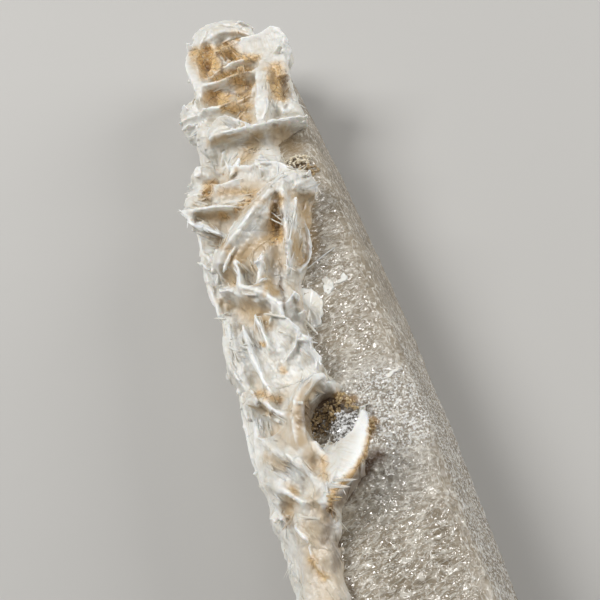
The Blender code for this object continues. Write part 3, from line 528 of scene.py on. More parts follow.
# %% Bed of the crust
# along, right toe on the front face, thickness on the face, thickness on the left side, share of the
# height where the crust ends on the left side
CRUST_BAND = grid_of("""
    -34.5 -6.6 0.5 0.5 0.66   -31 -5.6 0.9 0.8 0.6   -26 -4.9 1.1 1 0.52   -21.5 -4.5 1.1 1 0.46
    -18.5 -3.4 1.5 1 0.38   -16 -0.6 1.7 1.4 0.3   -12.5 0.9 1.5 1.6 0.26   -9 0.7 1.6 1.5 0.26
    -6 -0.8 1.8 1.3 0.26   -3 -1.6 1.9 1.8 0.24   1 -1.8 2 2.1 0.22   5 -1.2 1.9 2.1 0.22
    9 0.6 1.9 2 0.22   13 1.8 2 2 0.24   16.5 2.8 2.1 2.4 0.24   20 1.6 1.8 2.4 0.26
    23 0.8 1.2 1.8 0.28   25.5 1.2 0.9 1.2 0.26   28 4.6 1.3 2 0.24   32 4.7 1.3 2.2 0.22
    37 5 1.5 2 0.2   41 4.6 2 2.2 0.18""", 5)
BED_ROW_STEP = 0.5
BED_ROOT = 0.9             # depth of the bed inside the shaft


def left_path(along, toe, end_share):
    """The way over the shaft's skin from the toe on its face round to the end on its left side."""
    corners = section_corners(along)
    widest, upper = SECTION[4][2], SECTION[3][2]
    if end_share < widest:
        end = corners[5] + (corners[6] - corners[5]) * (1.0 - end_share / widest)
    else:
        end = corners[5] + (corners[4] - corners[5]) * (end_share - widest) / (upper - widest)
    toe_z = np.interp(toe, corners[[4, 3, 2], 0], corners[[4, 3, 2], 1])
    knots = [np.array([toe, toe_z])]
    if toe > corners[3][0]:
        knots.append(corners[3])
    knots += [corners[4], corners[5], end] if end_share < widest else [corners[4], end]
    return np.array(knots)


def along_path(knots, count):
    """Even points of a polyline, and the way out of the shaft at each."""
    lengths = run_of(knots)
    spots = np.linspace(0.0, lengths[-1], count)
    points = on_line(knots, lengths, spots)
    runs = np.gradient(points, axis=0)
    return points, unit(np.stack([runs[:, 1], -runs[:, 0]], axis=1))


def bed_form():
    """The field block of the bed."""
    rings = []
    for along in np.arange(CRUST_BAND[0, 0], CRUST_BAND[-1, 0], BED_ROW_STEP):
        toe, on_face, on_side, end_share = (np.interp(along, CRUST_BAND[:, 0], column)
                                            for column in CRUST_BAND.T[1:])
        toe += 0.35 * float(noise(np.array([[0.0, along, 0.0]]), 1.8, 41)[0])
        points, outward = along_path(left_path(along, toe, end_share), 40)
        shares = np.linspace(0.0, 1.0, len(points))
        thick = np.interp(shares, [0.0, 0.05, 0.12, 0.4, 0.62, 0.9, 1.0],
                          [0.05, 0.6 * on_face, on_face, on_face, on_side, on_side, 0.3 * on_side])
        spots = np.insert(points, 1, along, axis=1)
        thick = thick + np.minimum(1.0, thick) * (0.32 * noise(spots, 2.4, 7) + 0.14 * noise(spots, 0.9, 8))
        outer = points + outward * thick[:, None]
        inner = (points - outward * BED_ROOT)[::-3]
        rings.append(np.insert(np.vstack([outer, inner]), 1, along, axis=1))
    return closed_rings(np.array(rings))


join_form(field, bed_form(), blend=0.3)
for lump in LUMPS:
    join_form(field, ball_form(lump), blend=0.7)
for hollow in HOLLOWS:
    cut_form(field, ball_form(hollow), blend=0.4)
print("bed, %d lumps and %d hollows" % (len(LUMPS), len(HOLLOWS)))

# %% [markdown]
# ## Blades
# A blade or plate is a thin sheet with a ragged, bright edge. It hangs from its crest, a smooth curve
# through a few places, down to its root in the bed, and gets thicker on the way. Fine ribs run down
# its sides. Where one plate stands close beside another, as leaves in a book do, both are rows of
# the table.

# %% The blades of the crust
# the crest's places one after another, the way and depth from crest to root, the thickness at the edge
# and at the root, how far the sheet bulges, and how far its foot is gathered in
Fin = namedtuple("Fin", "name crest sink edge root cup gather", defaults=(0.0, 0.0))

FINS = [Fin(*row) for row in rows_of("""
    knob_left_wall | -3.8 47.2 2.6  -5.2 45 3  -6 42.3 3.2  -6.3 40.1 3.2  -6.2 37.5 3  -6.3 35 2.4
        | 0.5 0 -5 | 1.4 | 2.2 | 0.2;
    knob_top_wall | -5.2 46.9 2.6  -3.2 47.6 3  -0.8 47.3 3  1.3 46 3  2.1 44 2.8
        | -0.4 -0.8 -5 | 1.3 | 2.2;
    knob_inner_fold | -3.9 45 3.3  -1.8 45.4 3.6  0.1 44.8 3.6  1.7 43.5 3.4 | 0 0.4 -3 | 0.5 | 0.8;
    cell_ridge | -3.3 44.9 2.8  -2.7 42.9 2.5  -2.3 40.4 2.4 | -0.5 0 -3 | 0.4 | 0.9;
    white_plate | -1.4 42.8 3.6  0.6 42.2 4.1  2.6 41.5 4.5  4.5 41.3 5.2  5.6 39.7 4.3  5.9 38.2 3.2
        | 0.7 -6.4 -1.4 | 0.7 | 1.3 | 0.4 | 0.8;
    partition_high | -4.6 38 2.6  -1.8 38.9 3.2  0.3 38.8 3.3  2.5 39.1 3.2 | 0 0.5 -3 | 0.45 | 0.9;
    partition_low | -6.4 36.4 2.6  -3.6 36.3 3  -1.2 36.5 3.2  0.6 36.2 3.2 | 0.2 0.2 -3 | 0.45 | 0.9;
    partition_near | -6.2 32.8 2.4  -3.8 32 2.8  -2.2 32.6 2.8 | 0 -0.2 -2.6 | 0.5 | 1;
    ribbed_column | 2 37.6 3.4  1.3 33.7 3.5  0.5 30.5 3.3  -0.3 27 2.8 | 0.2 0 -3.6 | 1.5 | 2.6;
    column_flank | 3 36.4 3  2.6 32.6 2.5  2.5 28.6 2.2 | 0.2 0 -2.6 | 0.4 | 1;
    ledge | -6.3 27.4 2.4  -3.8 26.7 3.3  -1.1 26.2 3.6  1.9 26.3 3.4  5 26.5 2.7
        | -0.3 1.6 -3.4 | 0.45 | 1.5 | -0.3;
    ledge_sail | -5.9 28.4 2.3  -4.3 29.6 3.2  -2.6 27.8 3.3 | -0.4 -0.6 -2.6 | 0.5 | 1.5;
    fan_rim | -5.2 22.9 1.7  -2.4 21 2.7  -0.4 20.4 3.1  0.9 19.2 3.1  1.9 17.9 2.8
        | -1.6 -5.8 -1.8 | 0.4 | 1.4 | 0.5 | 0.45;
    fan_spike | -1.4 23 2.2  -1.7 21.6 2.9  -2 19.6 3.2 | 0.1 -0.4 -2.2 | 0.3 | 0.8;
    fan_left | -7.4 21 1.6  -6.4 19.6 2.6  -4.2 19.3 2.9 | -0.6 -2.8 -2.2 | 0.4 | 1.1 | 0.3;
    flank_plate | -7.6 25.4 0  -9.4 23.8 -0.7  -9.8 21.8 -1  -10.2 19 -1.2 | 2.4 -0.6 -2.4 | 0.5 | 1.6;
    cross_blade | -11.2 18.6 0.9  -8.7 16.9 2.4  -5.6 15.6 3.1 | 0.8 0.9 -2.8 | 0.4 | 1.1;
    lower_blade | -11.1 18.2 0.8  -10 15.7 1.4  -8.2 13.3 2.3 | 1.2 1.2 -2.8 | 0.4 | 1.2;
    edge_spike_a | -10.9 20.9 -0.4  -9.6 19.8 0.6  -8.2 19.2 1.4 | 0.8 0.4 -2 | 0.4 | 1.2;
    edge_spike_b | -10.4 22.4 -0.8  -9.2 21.6 0.2  -8 21.4 0.8 | 0.8 0.4 -2 | 0.4 | 1.2;
    s_ridge | 3 16.8 3.2  0.4 16.2 4.4  -2.4 13.9 4.8  -4.6 12 4.7  -6 10.6 4.4  -7.1 9.7 3.7  -8.2 8.7 2.8
        | -0.6 1.9 -4.4 | 0.6 | 2 | -0.4;
    s_ridge_front | -2.3 12.9 3.4  -4.2 11.3 3.5  -5.9 9.6 3.2  -7.4 8.2 2.6 | 0.3 0.2 -2.6 | 0.6 | 1.6;
    long_blade | -0.1 15.6 4.5  -1 10.3 4.5  -1.9 6.2 3.8 | 0 -0.3 -3 | 0.4 | 0.9;
    short_blade | 0.8 14.6 3.4  0 10.7 3.9  -0.9 8.2 3.7 | -0.3 -0.3 -2.6 | 0.35 | 0.8;
    right_panel | 0.9 13.2 1.6  1.2 10.6 1.5  0.6 7.6 1.3  -0.8 6 1.2 | -1.8 0 -1.4 | 0.3 | 1;
    flank_edge_upper | -10.2 16.4 -0.8  -10.3 13 -0.6  -10.4 10 -0.6  -10.3 7.6 -0.6  -10 4.8 -0.8
        | 2.4 0 -1.6 | 0.8 | 2.2;
    cream_ridge | -6.7 8.1 3.2  -6.8 6.3 3.3  -7.1 5 3.4  -5.5 3.6 3.7  -4.2 2.3 3.7  -3.3 1.4 3.6
        -2.1 2.9 3 | 0 0.2 -2.8 | 0.4 | 1.5;
    slant_fin | -4 7.8 3.5  -4.8 5.8 3.7  -5.4 4.4 3.4 | 0.2 0.1 -2.4 | 0.35 | 1;
    panel_fin | -4.4 5.6 3  -4.6 3.7 3.3  -4.6 2.4 3.3 | 0.3 0 -2.2 | 0.35 | 0.9;
    left_fin | -9 6.4 1.2  -8.3 5.6 2.1  -7.1 4.2 2.8  -5.7 2.8 3 | 0.2 0.8 -2.6 | 0.45 | 1.4;
    outer_lobe | -9.6 4.4 -1.4  -9.7 1.5 -1.2  -9.8 -1.1 -1  -9.6 -3.4 -0.8  -8.8 -4.8 -0.2
        | 2.8 0 -0.6 | 0.9 | 2.4 | 0.4;
    outer_lobe_top | -9.3 2.4 0.9  -9.5 -0.6 1.2  -9.2 -3.4 1.2  -8.6 -5.4 0.9 | 1.2 0 -2.8 | 0.9 | 2.2;
    inner_panel | -7.6 1 2.4  -7.5 -2 2.7  -7.2 -5 2.7  -6.6 -7.2 2.5 | 0.7 0 -2.6 | 0.6 | 1.6;
    recess_wall | -6.1 1.4 3.1  -5.9 -0.8 3.1  -5.6 -2.6 2.9 | 0.2 0 -2.2 | 0.3 | 0.8;
    long_fan | -4.3 1.7 3.5  -3 -0.8 3.3  -2.2 -2.6 2.9  -1.2 -4.9 2.2
        | -3 -3.2 -1.8 | 0.4 | 1.6 | 0.6 | 0.4;
    tongue | -2.4 4.6 1.5  -1.9 2.6 1.7  -1.7 0.7 1.5 | -0.7 0.3 -1.8 | 0.6 | 1.4;
    pocket_lip | -1.5 -6.6 2.5  -3.2 -7.7 3.2  -4.6 -9.9 3.5  -5.1 -12.2 3.4  -4.9 -14 3
        | -0.9 0.5 -3 | 1.1 | 2.2;
    crumb_ridge | -1.6 -7.3 1.7  -0.2 -8.1 1.8  0.8 -8.9 1.4 | -0.2 0.3 -1.8 | 0.6 | 1.2;
    flap_upper | -0.6 -9.5 1.7  0.2 -9.9 2  1 -10.6 1.9 | 0.2 0.7 -1.9 | 0.3 | 0.8;
    flap | 1 -10.8 2.4  1.1 -12.6 3.1  0.3 -14.8 3.6  -1.1 -16.8 3.7  -2.6 -18.2 3.5  -4 -19 2.9
        | -1.9 1.6 -2.8 | 0.5 | 1.7 | -0.9;
    flap_fold | -3.9 -12.9 2.7  -3.5 -15 2.9  -3.2 -16.8 2.9 | -0.1 0.3 -2 | 0.5 | 1.1;
    cross_fin | -8.6 -6.6 1.4  -7.4 -7.7 2.5  -6.5 -9 2.9  -5.4 -10.3 3.2 | 0.3 0.6 -2.6 | 0.45 | 1.3;
    left_plate | -8.7 -6.9 0.6  -8.9 -9.6 0.6  -9.3 -12.6 0.6  -9.1 -15.1 0.6  -8.5 -17.2 0.4  -7.9 -19 0.2
        | 1.8 0.4 -2.6 | 0.6 | 2 | 0.4;
    lens_upper | -8.4 -11.2 2  -7.2 -13.2 2.9  -5.6 -14.8 3.1  -4.9 -17.2 2.7 | 0 1.2 -2.6 | 0.45 | 1.4;
    lens_lower | -8.8 -15.2 1.4  -7.4 -16.6 2.5  -6.2 -17.9 2.5 | 0.1 1 -2.6 | 0.45 | 1.4;
    back_ledge_far | -6.8 40 -3.8  -8 35 -4.2  -8.3 30 -4.6 | 2.6 0 0.3 | 0.6 | 1.8;
    back_ledge_mid | -8.6 22 -5.2  -9.9 15 -6  -9.6 8 -6.6 | 2.8 0 0.5 | 0.6 | 1.8;
    back_ledge_near | -9.8 2 -7  -10.5 -5 -7  -10.2 -12 -6.4 | 2.8 0 0.6 | 0.6 | 1.8""")]

CREST_STEP = 0.22          # mm between the stations of a blade
FIBRE_JUMP = 7.3           # mm added to the distances of each next blade, so that no two match
SIDE_SHARES = np.array([0.0, 0.04, 0.12, 0.25, 0.4, 0.55, 0.7, 0.85, 1.0])   # from crest to root
EDGE_THIN = 0.62           # the fine sheets are thinner at the edge than the plain solids
RIB_SPACING = 0.55         # mm between the ribs on a blade's sides
RIBS, COMB_RIBS = 0.07, 0.15   # mm, how high they are, and on the fan's comb
RAGGED = 0.08              # mm, how far the crest is nibbled
LEAST_HALF = 0.07          # mm, half the thickness of the thinnest sheet
BLADE_SEED, SLIP_SEED = 100, 300   # first seeds of the blades here and of the small ones further on
COMBED = ("fan_rim", "fan_spike", "flap", "white_plate")   # their fibres run down, the others' along
sheets = []                # of each blade: places, distances across and along its fibres, and both ways


def curve_through(points, step):
    """Points at even steps of a smooth curve through the given ones (Catmull-Rom)."""
    points = np.asarray(points)
    ends = np.vstack([2 * points[0] - points[1], points, 2 * points[-1] - points[-2]])
    length = np.linalg.norm(np.diff(points, axis=0), axis=1).sum()
    position = np.linspace(0.0, len(points) - 1.0, max(8, int(length / step)))
    index = np.minimum(position.astype(int), len(points) - 2)
    t = (position - index)[:, None]
    a, b, c, d = (ends[index + k] for k in range(4))
    return 0.5 * (2 * b + (c - a) * t + (2 * a - 5 * b + 4 * c - d) * t ** 2
                  + (3 * b - a - 3 * c + d) * t ** 3)


def crest_of(fin, step):
    """A blade's crest as points at even steps, and the way ahead at each."""
    crest = curve_through([place(*spot) for spot in np.reshape(fin.crest, (-1, 3))], step)
    return crest, unit(np.gradient(crest, axis=0))


def blade_form(fin, seed, ribs=RIBS, end_thin=0.35):
    """The field block of a blade."""
    crest, ahead = crest_of(fin, CREST_STEP)
    edge = fin.edge * (EDGE_THIN if fin.edge < 0.8 else 1.0)
    sink = np.array(fin.sink, float)
    down = unit(sink)
    side = unit(np.cross(ahead, sink))
    run = run_of(crest)
    end_share = np.minimum(run, run[-1] - run) / run[-1]
    fat = end_thin + (1.0 - end_thin) * np.minimum(1.0, 4.0 * end_share)
    wave = 0.20 * noise(crest, 2.6, 9) + 0.03 * noise(crest, 0.9, seed)
    nicks = np.maximum(0.0, noise(crest, 0.55, seed + 1) - 0.15)
    drop = RAGGED * np.abs(noise(crest, 1.7, 2)) + RAGGED * nicks
    top = crest + side * wave[:, None] + down * drop[:, None]
    gathered = crest.mean(axis=0) + sink
    foot = top + sink + (gathered - top - sink) * fin.gather
    for share in (0.0, 0.2, 0.4, 0.6, 0.85):
        middle = top + (foot - top) * share
        reach = np.linalg.norm(foot - top, axis=1) * share
        if fin.name in COMBED:
            sheets.append((middle, run + FIBRE_JUMP * seed, reach, ahead, unit(foot - top)))
        else:
            sheets.append((middle, reach + FIBRE_JUMP * seed, run, unit(foot - top), ahead))
    sides = []
    for direction in (-1.0, 1.0):
        levels = []
        for share in SIDE_SHARES:
            bulge = (fin.cup + wave * 0.6) * math.sin(math.pi * share ** 0.8)
            middle = top + (foot - top) * share + side * bulge[:, None]
            thick = 0.5 * fat * (edge + (fin.root - edge) * share ** 1.4)
            flat = np.ones(len(run))
            rib_sheet = np.stack([run / RIB_SPACING, 1.4 * share * flat, direction * flat], 1)
            thick = thick + ribs * min(1.0, 6.0 * share) * noise(rib_sheet, 1.0, seed + 2)
            levels.append(middle + side * (direction * np.maximum(thick, LEAST_HALF))[:, None])
        sides.append(levels)
    around = sides[0] + sides[1][::-1]
    return closed_rings(np.stack(around, axis=1))


for seed, fin in enumerate(FINS):
    ribs = COMB_RIBS if fin.name == "fan_rim" else RIBS
    join_form(field, blade_form(fin, BLADE_SEED + seed, ribs), blend=0.5)
field = close_corners(field, WEB)
print("blades:", len(FINS))

# %% [markdown]
# ## Small blades
# Between the large plates the whole crust bristles with small ones: thin slips a few millimetres long
# that stand on edge, about half of them nearly along the plate that carries them, the rest across it.
# They are sown over the skin made so far, and each takes its direction from the nearest large crest.
# The smooth panels are left bare, because it is the change from bare to crowded that looks real.

# %% Sow the small blades
SEED_STRIDE = 3            # every third lattice point is fine enough to sow on
SLIP_COUNT = 150
SLIP_GAP = 0.95            # mm, the least distance between two of them
SLIP_LENGTH, SLIP_HEIGHT = (1.3, 3.2), (0.10, 0.38)   # mm, from the least to the most
SLIP_EDGE, SLIP_ROOT = (0.24, 0.4), (0.5, 0.8)        # mm, how thick a slip is at its edge and root
SLIPS_ACROSS = 0.45        # share of them that stand across the large blade
# places and radii in mm of the smooth panels
CALM_SPOTS = grid_of("""
    -3.6 9.6 1.6 2.3   0.1 10.6 1.2 1.1   2.6 41 3.8 2.3   -1.4 24 1.4 1.5   -3.4 6 2.2 1.1
    -5.4 -12.6 2.6 1.5   -1.6 -14.6 2.9 2.3   -1.9 -10.4 0.8 2.5   2 16.4 2.4 1.2   -8.4 8 1.2 1.2
    -4.2 44.1 0.8 1.6   1 43.8 0.8 1.4   -9 -12 0 1.3   -0.4 -16.8 3.2 2.2   0.9 -13.4 3 1.8""", 4)


def panel_edges(points):
    """For one smooth panel after another: 0 at the points inside it, rising to 1 past its edge."""
    for *spot, radius in CALM_SPOTS:
        yield soft_step(0.7 * radius, 1.1 * radius, np.linalg.norm(points - place(*spot), axis=1))


def search_tree(points):
    """A tree that finds the nearest of the points quickly."""
    tree = KDTree(len(points))
    for number, spot in enumerate(points):
        tree.insert(spot, number)
    tree.balance()
    return tree


def skin_seeds(stride):
    """Points of the field's skin and the ways out of it, coarse but even."""
    coarse = np.ascontiguousarray(field[::stride, ::stride, ::stride])
    tree = openvdb.FloatGrid(background=FAR)
    tree.copyFromArray(coarse, ijk=(0, 0, 0), tolerance=0.0)
    points, quads = tree.convertToQuads(isovalue=0.0)
    corners = points[quads]
    normals = unit(np.cross(corners[:, 2] - corners[:, 0], corners[:, 3] - corners[:, 1]))
    return (corners.mean(axis=1) * stride + FIELD_LOW) * FIELD_STEP, normals


def nearest_crest(points):
    """For each point, the way along and the way down of the large blade that passes closest."""
    spots, ways = [], []
    for fin in FINS:
        crest, ahead = crest_of(fin, 0.9)
        spots += list(crest)
        ways += [(way, unit(np.array(fin.sink))) for way in ahead]
    tree = search_tree(spots)
    found = np.array([ways[tree.find(point)[1]] for point in points])
    return found[:, 0], found[:, 1]


chance = np.random.default_rng(29)
seeds, seed_normals = skin_seeds(SEED_STRIDE)
usable = (seed_normals[:, 2] > -0.25) & (seeds[:, 2] > 0.42 * crown(seeds[:, 1])) & (seeds[:, 1] > -33.5)
for *spot, radius in CALM_SPOTS:
    usable &= np.linalg.norm(seeds - place(*spot), axis=1) > radius
seeds, seed_normals = seeds[usable], seed_normals[usable]
chosen = []
for index in chance.permutation(len(seeds)):
    gaps = np.sum((seeds[index] - seeds[chosen]) ** 2, axis=1)
    if len(chosen) < SLIP_COUNT and np.all(gaps > SLIP_GAP ** 2):
        chosen.append(index)
ahead_ways, down_ways = nearest_crest(seeds[chosen])
for number, (index, ahead, down) in enumerate(zip(chosen, ahead_ways, down_ways)):
    outward = seed_normals[index]
    base = down if chance.uniform() < SLIPS_ACROSS else ahead
    way = unit(base + chance.normal(0.0, 0.30, 3))
    way = unit(way - outward * (way @ outward) * 0.85)
    lean = unit(outward + 0.45 * chance.normal(0.0, 1.0, 3))
    lean = unit(lean - way * (lean @ way))
    if lean @ outward < 0.45:
        lean = unit(outward - way * (way @ outward))
    long, tall = chance.uniform(*SLIP_LENGTH), chance.uniform(*SLIP_HEIGHT)
    spot = seeds[index] + lean * tall
    spots = [spot - way * long * 0.5, spot + lean * chance.uniform(0.0, 0.12), spot + way * long * 0.5]
    knots = [(across, along, height - crown(along)) for across, along, height in spots]
    slip = Fin("slip", knots, -lean * (tall + 0.5), chance.uniform(*SLIP_EDGE), chance.uniform(*SLIP_ROOT))
    join_form(field, blade_form(slip, SLIP_SEED + number, ribs=0.03, end_thin=0.12), blend=0.2)
print("small blades:", len(chosen), "on", len(seeds), "possible places")

# %% [markdown]
# ## Broken faces
# Quartz has no cleavage. It breaks and dissolves in small splintery steps, so even a smooth-looking
# plate glitters with tiny flat faces. Space is split into long random cells, and inside each the skin
# is tilted a little its own way: where two cells meet there is a crisp step.

# %% Break the skin into splintery faces
BREAKS = [                 # way they run from X, size along, across and in depth in mm, tilt, seed
    (math.radians(118.0), (3.4, 0.60, 0.7), 0.055, 5),
    (math.radians(62.0), (2.8, 0.55, 0.7), 0.055, 6),
]
BREAK_BAND = 0.8           # mm on each side of the skin that is tilted


def broken_faces(points, size, tilt, seed):
    """Height of the tilted plane of the nearest random cell, in mm, at each point."""
    grid = points / np.array(size)
    low = np.floor(grid.min(axis=0)).astype(int) - 1
    shape = np.floor(grid.max(axis=0)).astype(int) + 2 - low
    local = np.random.default_rng(seed)
    centres = local.uniform(0.0, 1.0, (*shape, 3))
    slopes = local.normal(0.0, tilt, (*shape, 3))
    grid = grid - low
    cell = np.floor(grid).astype(int)
    nearest = np.full(len(points), np.inf)
    height = np.zeros(len(points))
    for step in product((-1, 0, 1), repeat=3):
        at = tuple((cell + np.array(step)).T)
        away = grid - np.stack(at, axis=1) - centres[at]
        distance = (away ** 2).sum(axis=1)
        height = np.where(distance < nearest, (away * slopes[at]).sum(axis=1), height)
        nearest = np.minimum(distance, nearest)
    return height


cells = np.argwhere(np.abs(field) < BREAK_BAND)
spots = (cells + FIELD_LOW) * FIELD_STEP
bent = spots + 0.35 * np.stack([noise(spots, 2.2, 80 + axis) for axis in range(3)], axis=1)
which = soft_step(-0.12, 0.12, noise(spots, 3.0, 90))
calm = 1.0 - reduce(np.minimum, panel_edges(spots))
heights = [broken_faces(turned(bent, run), size, tilt, seed) for run, size, tilt, seed in BREAKS]
shift = heights[0] * which + heights[1] * (1.0 - which)
field[tuple(cells.T)] += (shift * (1.0 - 0.75 * calm)).astype(np.float32)
for hollow in POCKET_HOLLOWS:
    cut_form(field, ball_form(hollow), blend=0.25)
print("broken faces: %.2f mm high at most" % np.abs(shift).max())

# %% [markdown]
# ## From the field to meshes
# The zero level of the field is the crust's skin. One mesh would have too many triangles to handle
# well, so the crust is meshed in four stretches. Where two meet, one runs on for half a millimetre
# just under the other's skin, so no gap and no step shows.

# %% Mesh the crust
CRUST_PIECES = [("knob_crust", 27.5, 60.0), ("fan_crust", 11.0, 27.5), ("ridge_crust", -6.4, 11.0),
                ("flap_crust", -60.0, -6.4)]
TUCK = 0.5                 # how far a stretch runs on under its neighbour
TUCK_DEPTH = 0.10          # how deep it lies there
ON_CUT = 0.02              # mm, a face this near the cut is part of it and stays flat


def largest_body(points, faces):
    """Drop small loose bodies: keep the faces that hang together with most others."""
    group = np.arange(len(points))
    while True:
        lowest = group[faces].min(axis=1)
        before = group.copy()
        np.minimum.at(group, faces, lowest[:, None].repeat(faces.shape[1], axis=1))
        group = group[group]
        if np.array_equal(before, group):
            break
    names, counts = np.unique(group[faces[:, 0]], return_counts=True)
    kept = faces[group[faces[:, 0]] == names[counts.argmax()]]
    used, fresh = np.unique(kept, return_inverse=True)
    return points[used], fresh.reshape(kept.shape)


def stretch_of(low_end, high_end):
    """The part of the field between two places along, and its low corner."""
    along = (FIELD_LOW[1] + np.arange(field.shape[1])) * FIELD_STEP
    inside = (along > low_end - 1.0) & (along < high_end + TUCK + 1.0)
    part = field[:, inside].copy()
    along = along[inside]
    part += (TUCK_DEPTH * soft_step(high_end, high_end + 0.2, along))[None, :, None]
    part = np.maximum(part, (along - high_end - TUCK)[None, :, None])
    part = np.maximum(part, (low_end - along)[None, :, None])
    low = FIELD_LOW + np.array([0, int(np.argmax(inside)), 0])
    return part, low


crust_pieces = []
for name, low_end, high_end in CRUST_PIECES:
    points, quads = largest_body(*level_mesh(*stretch_of(low_end, high_end), 0.0))
    piece = mesh_piece(name, points, [quads])
    corners = points[quads]
    on_cut = np.all(np.abs(corners[:, :, 1:2] - low_end) < ON_CUT, axis=(1, 2))
    piece.data.polygons.foreach_set("use_smooth", ~on_cut)
    crust_pieces.append(piece)
    print(name, triangles_of(piece), "triangles")

# %% [markdown]
# ## What the finish needs to know about the shape
# On the real piece the colour follows the shape: sharp crests are thin and scatter white light, and here
# they are painted whiter still as a painted highlight; the panels between them are clearer and look beige,
# and clay has stained some hollows ochre and brown, while every hollow is painted a darker tan as painted
# shade. A blurred copy of the filled space tells these apart: at a point on a flat wall it is half full, on
# a crest much less, and in a hollow more. A narrow blur finds crests, a wide one finds hollows. Clay
# doesn't lie in every hollow, so its stains are laid down stroke by stroke; some of the brown and beige
# strokes are painted shadow under ledges and overhangs and in the pocket's dark pit.

# %% How open or closed the space is at each point
NARROW_REACH, WIDE_REACH = 3, 10   # lattice steps to each side that the two blurs take in


def shaft_form():
    """The field block of the plain shaft."""
    rings = []
    for along in np.arange(THICK_END + 6.0, THIN_END, 1.5):
        section, _ = outline_at(along, np.linspace(0.0, 7.0, 57)[:-1])
        rings.append(np.insert(section, 1, along, axis=1))
    return closed_rings(np.array(rings))


def box_blur(volume, reach, passes=2):
    """The average over a small cube, taken along one axis after another."""
    for _ in range(passes):
        for axis in range(3):
            padding = [(reach + 1, reach) if number == axis else (0, 0) for number in range(3)]
            total = np.cumsum(np.pad(volume, padding, "edge"), axis=axis, dtype=np.float64)
            width, count = 2 * reach + 1, volume.shape[axis]
            upper, lower = (total.take(np.arange(start, start + count), axis) for start in (width, 0))
            volume = ((upper - lower) / width).astype(np.float32)
    return volume


def sample(volume, points):
    """Values of a lattice at points in mm, blended between its own points."""
    place_in = np.clip(points / FIELD_STEP - FIELD_LOW, 0.0, np.array(volume.shape) - 1.001)
    cell = place_in.astype(int)
    part = place_in - cell
    total = np.zeros(len(points))
    for corner in corners_of_cell():
        weight = np.prod(np.where(corner == 1, part, 1.0 - part), axis=1)
        total += weight * volume[tuple((cell + corner).T)]
    return total


solid = field.copy()
join_form(solid, shaft_form(), blend=0.1)
filled = np.clip(0.5 - solid / FIELD_STEP, 0.0, 1.0)
narrow = box_blur(filled, NARROW_REACH)
wide = box_blur(filled, WIDE_REACH)
print("filled space blurred")

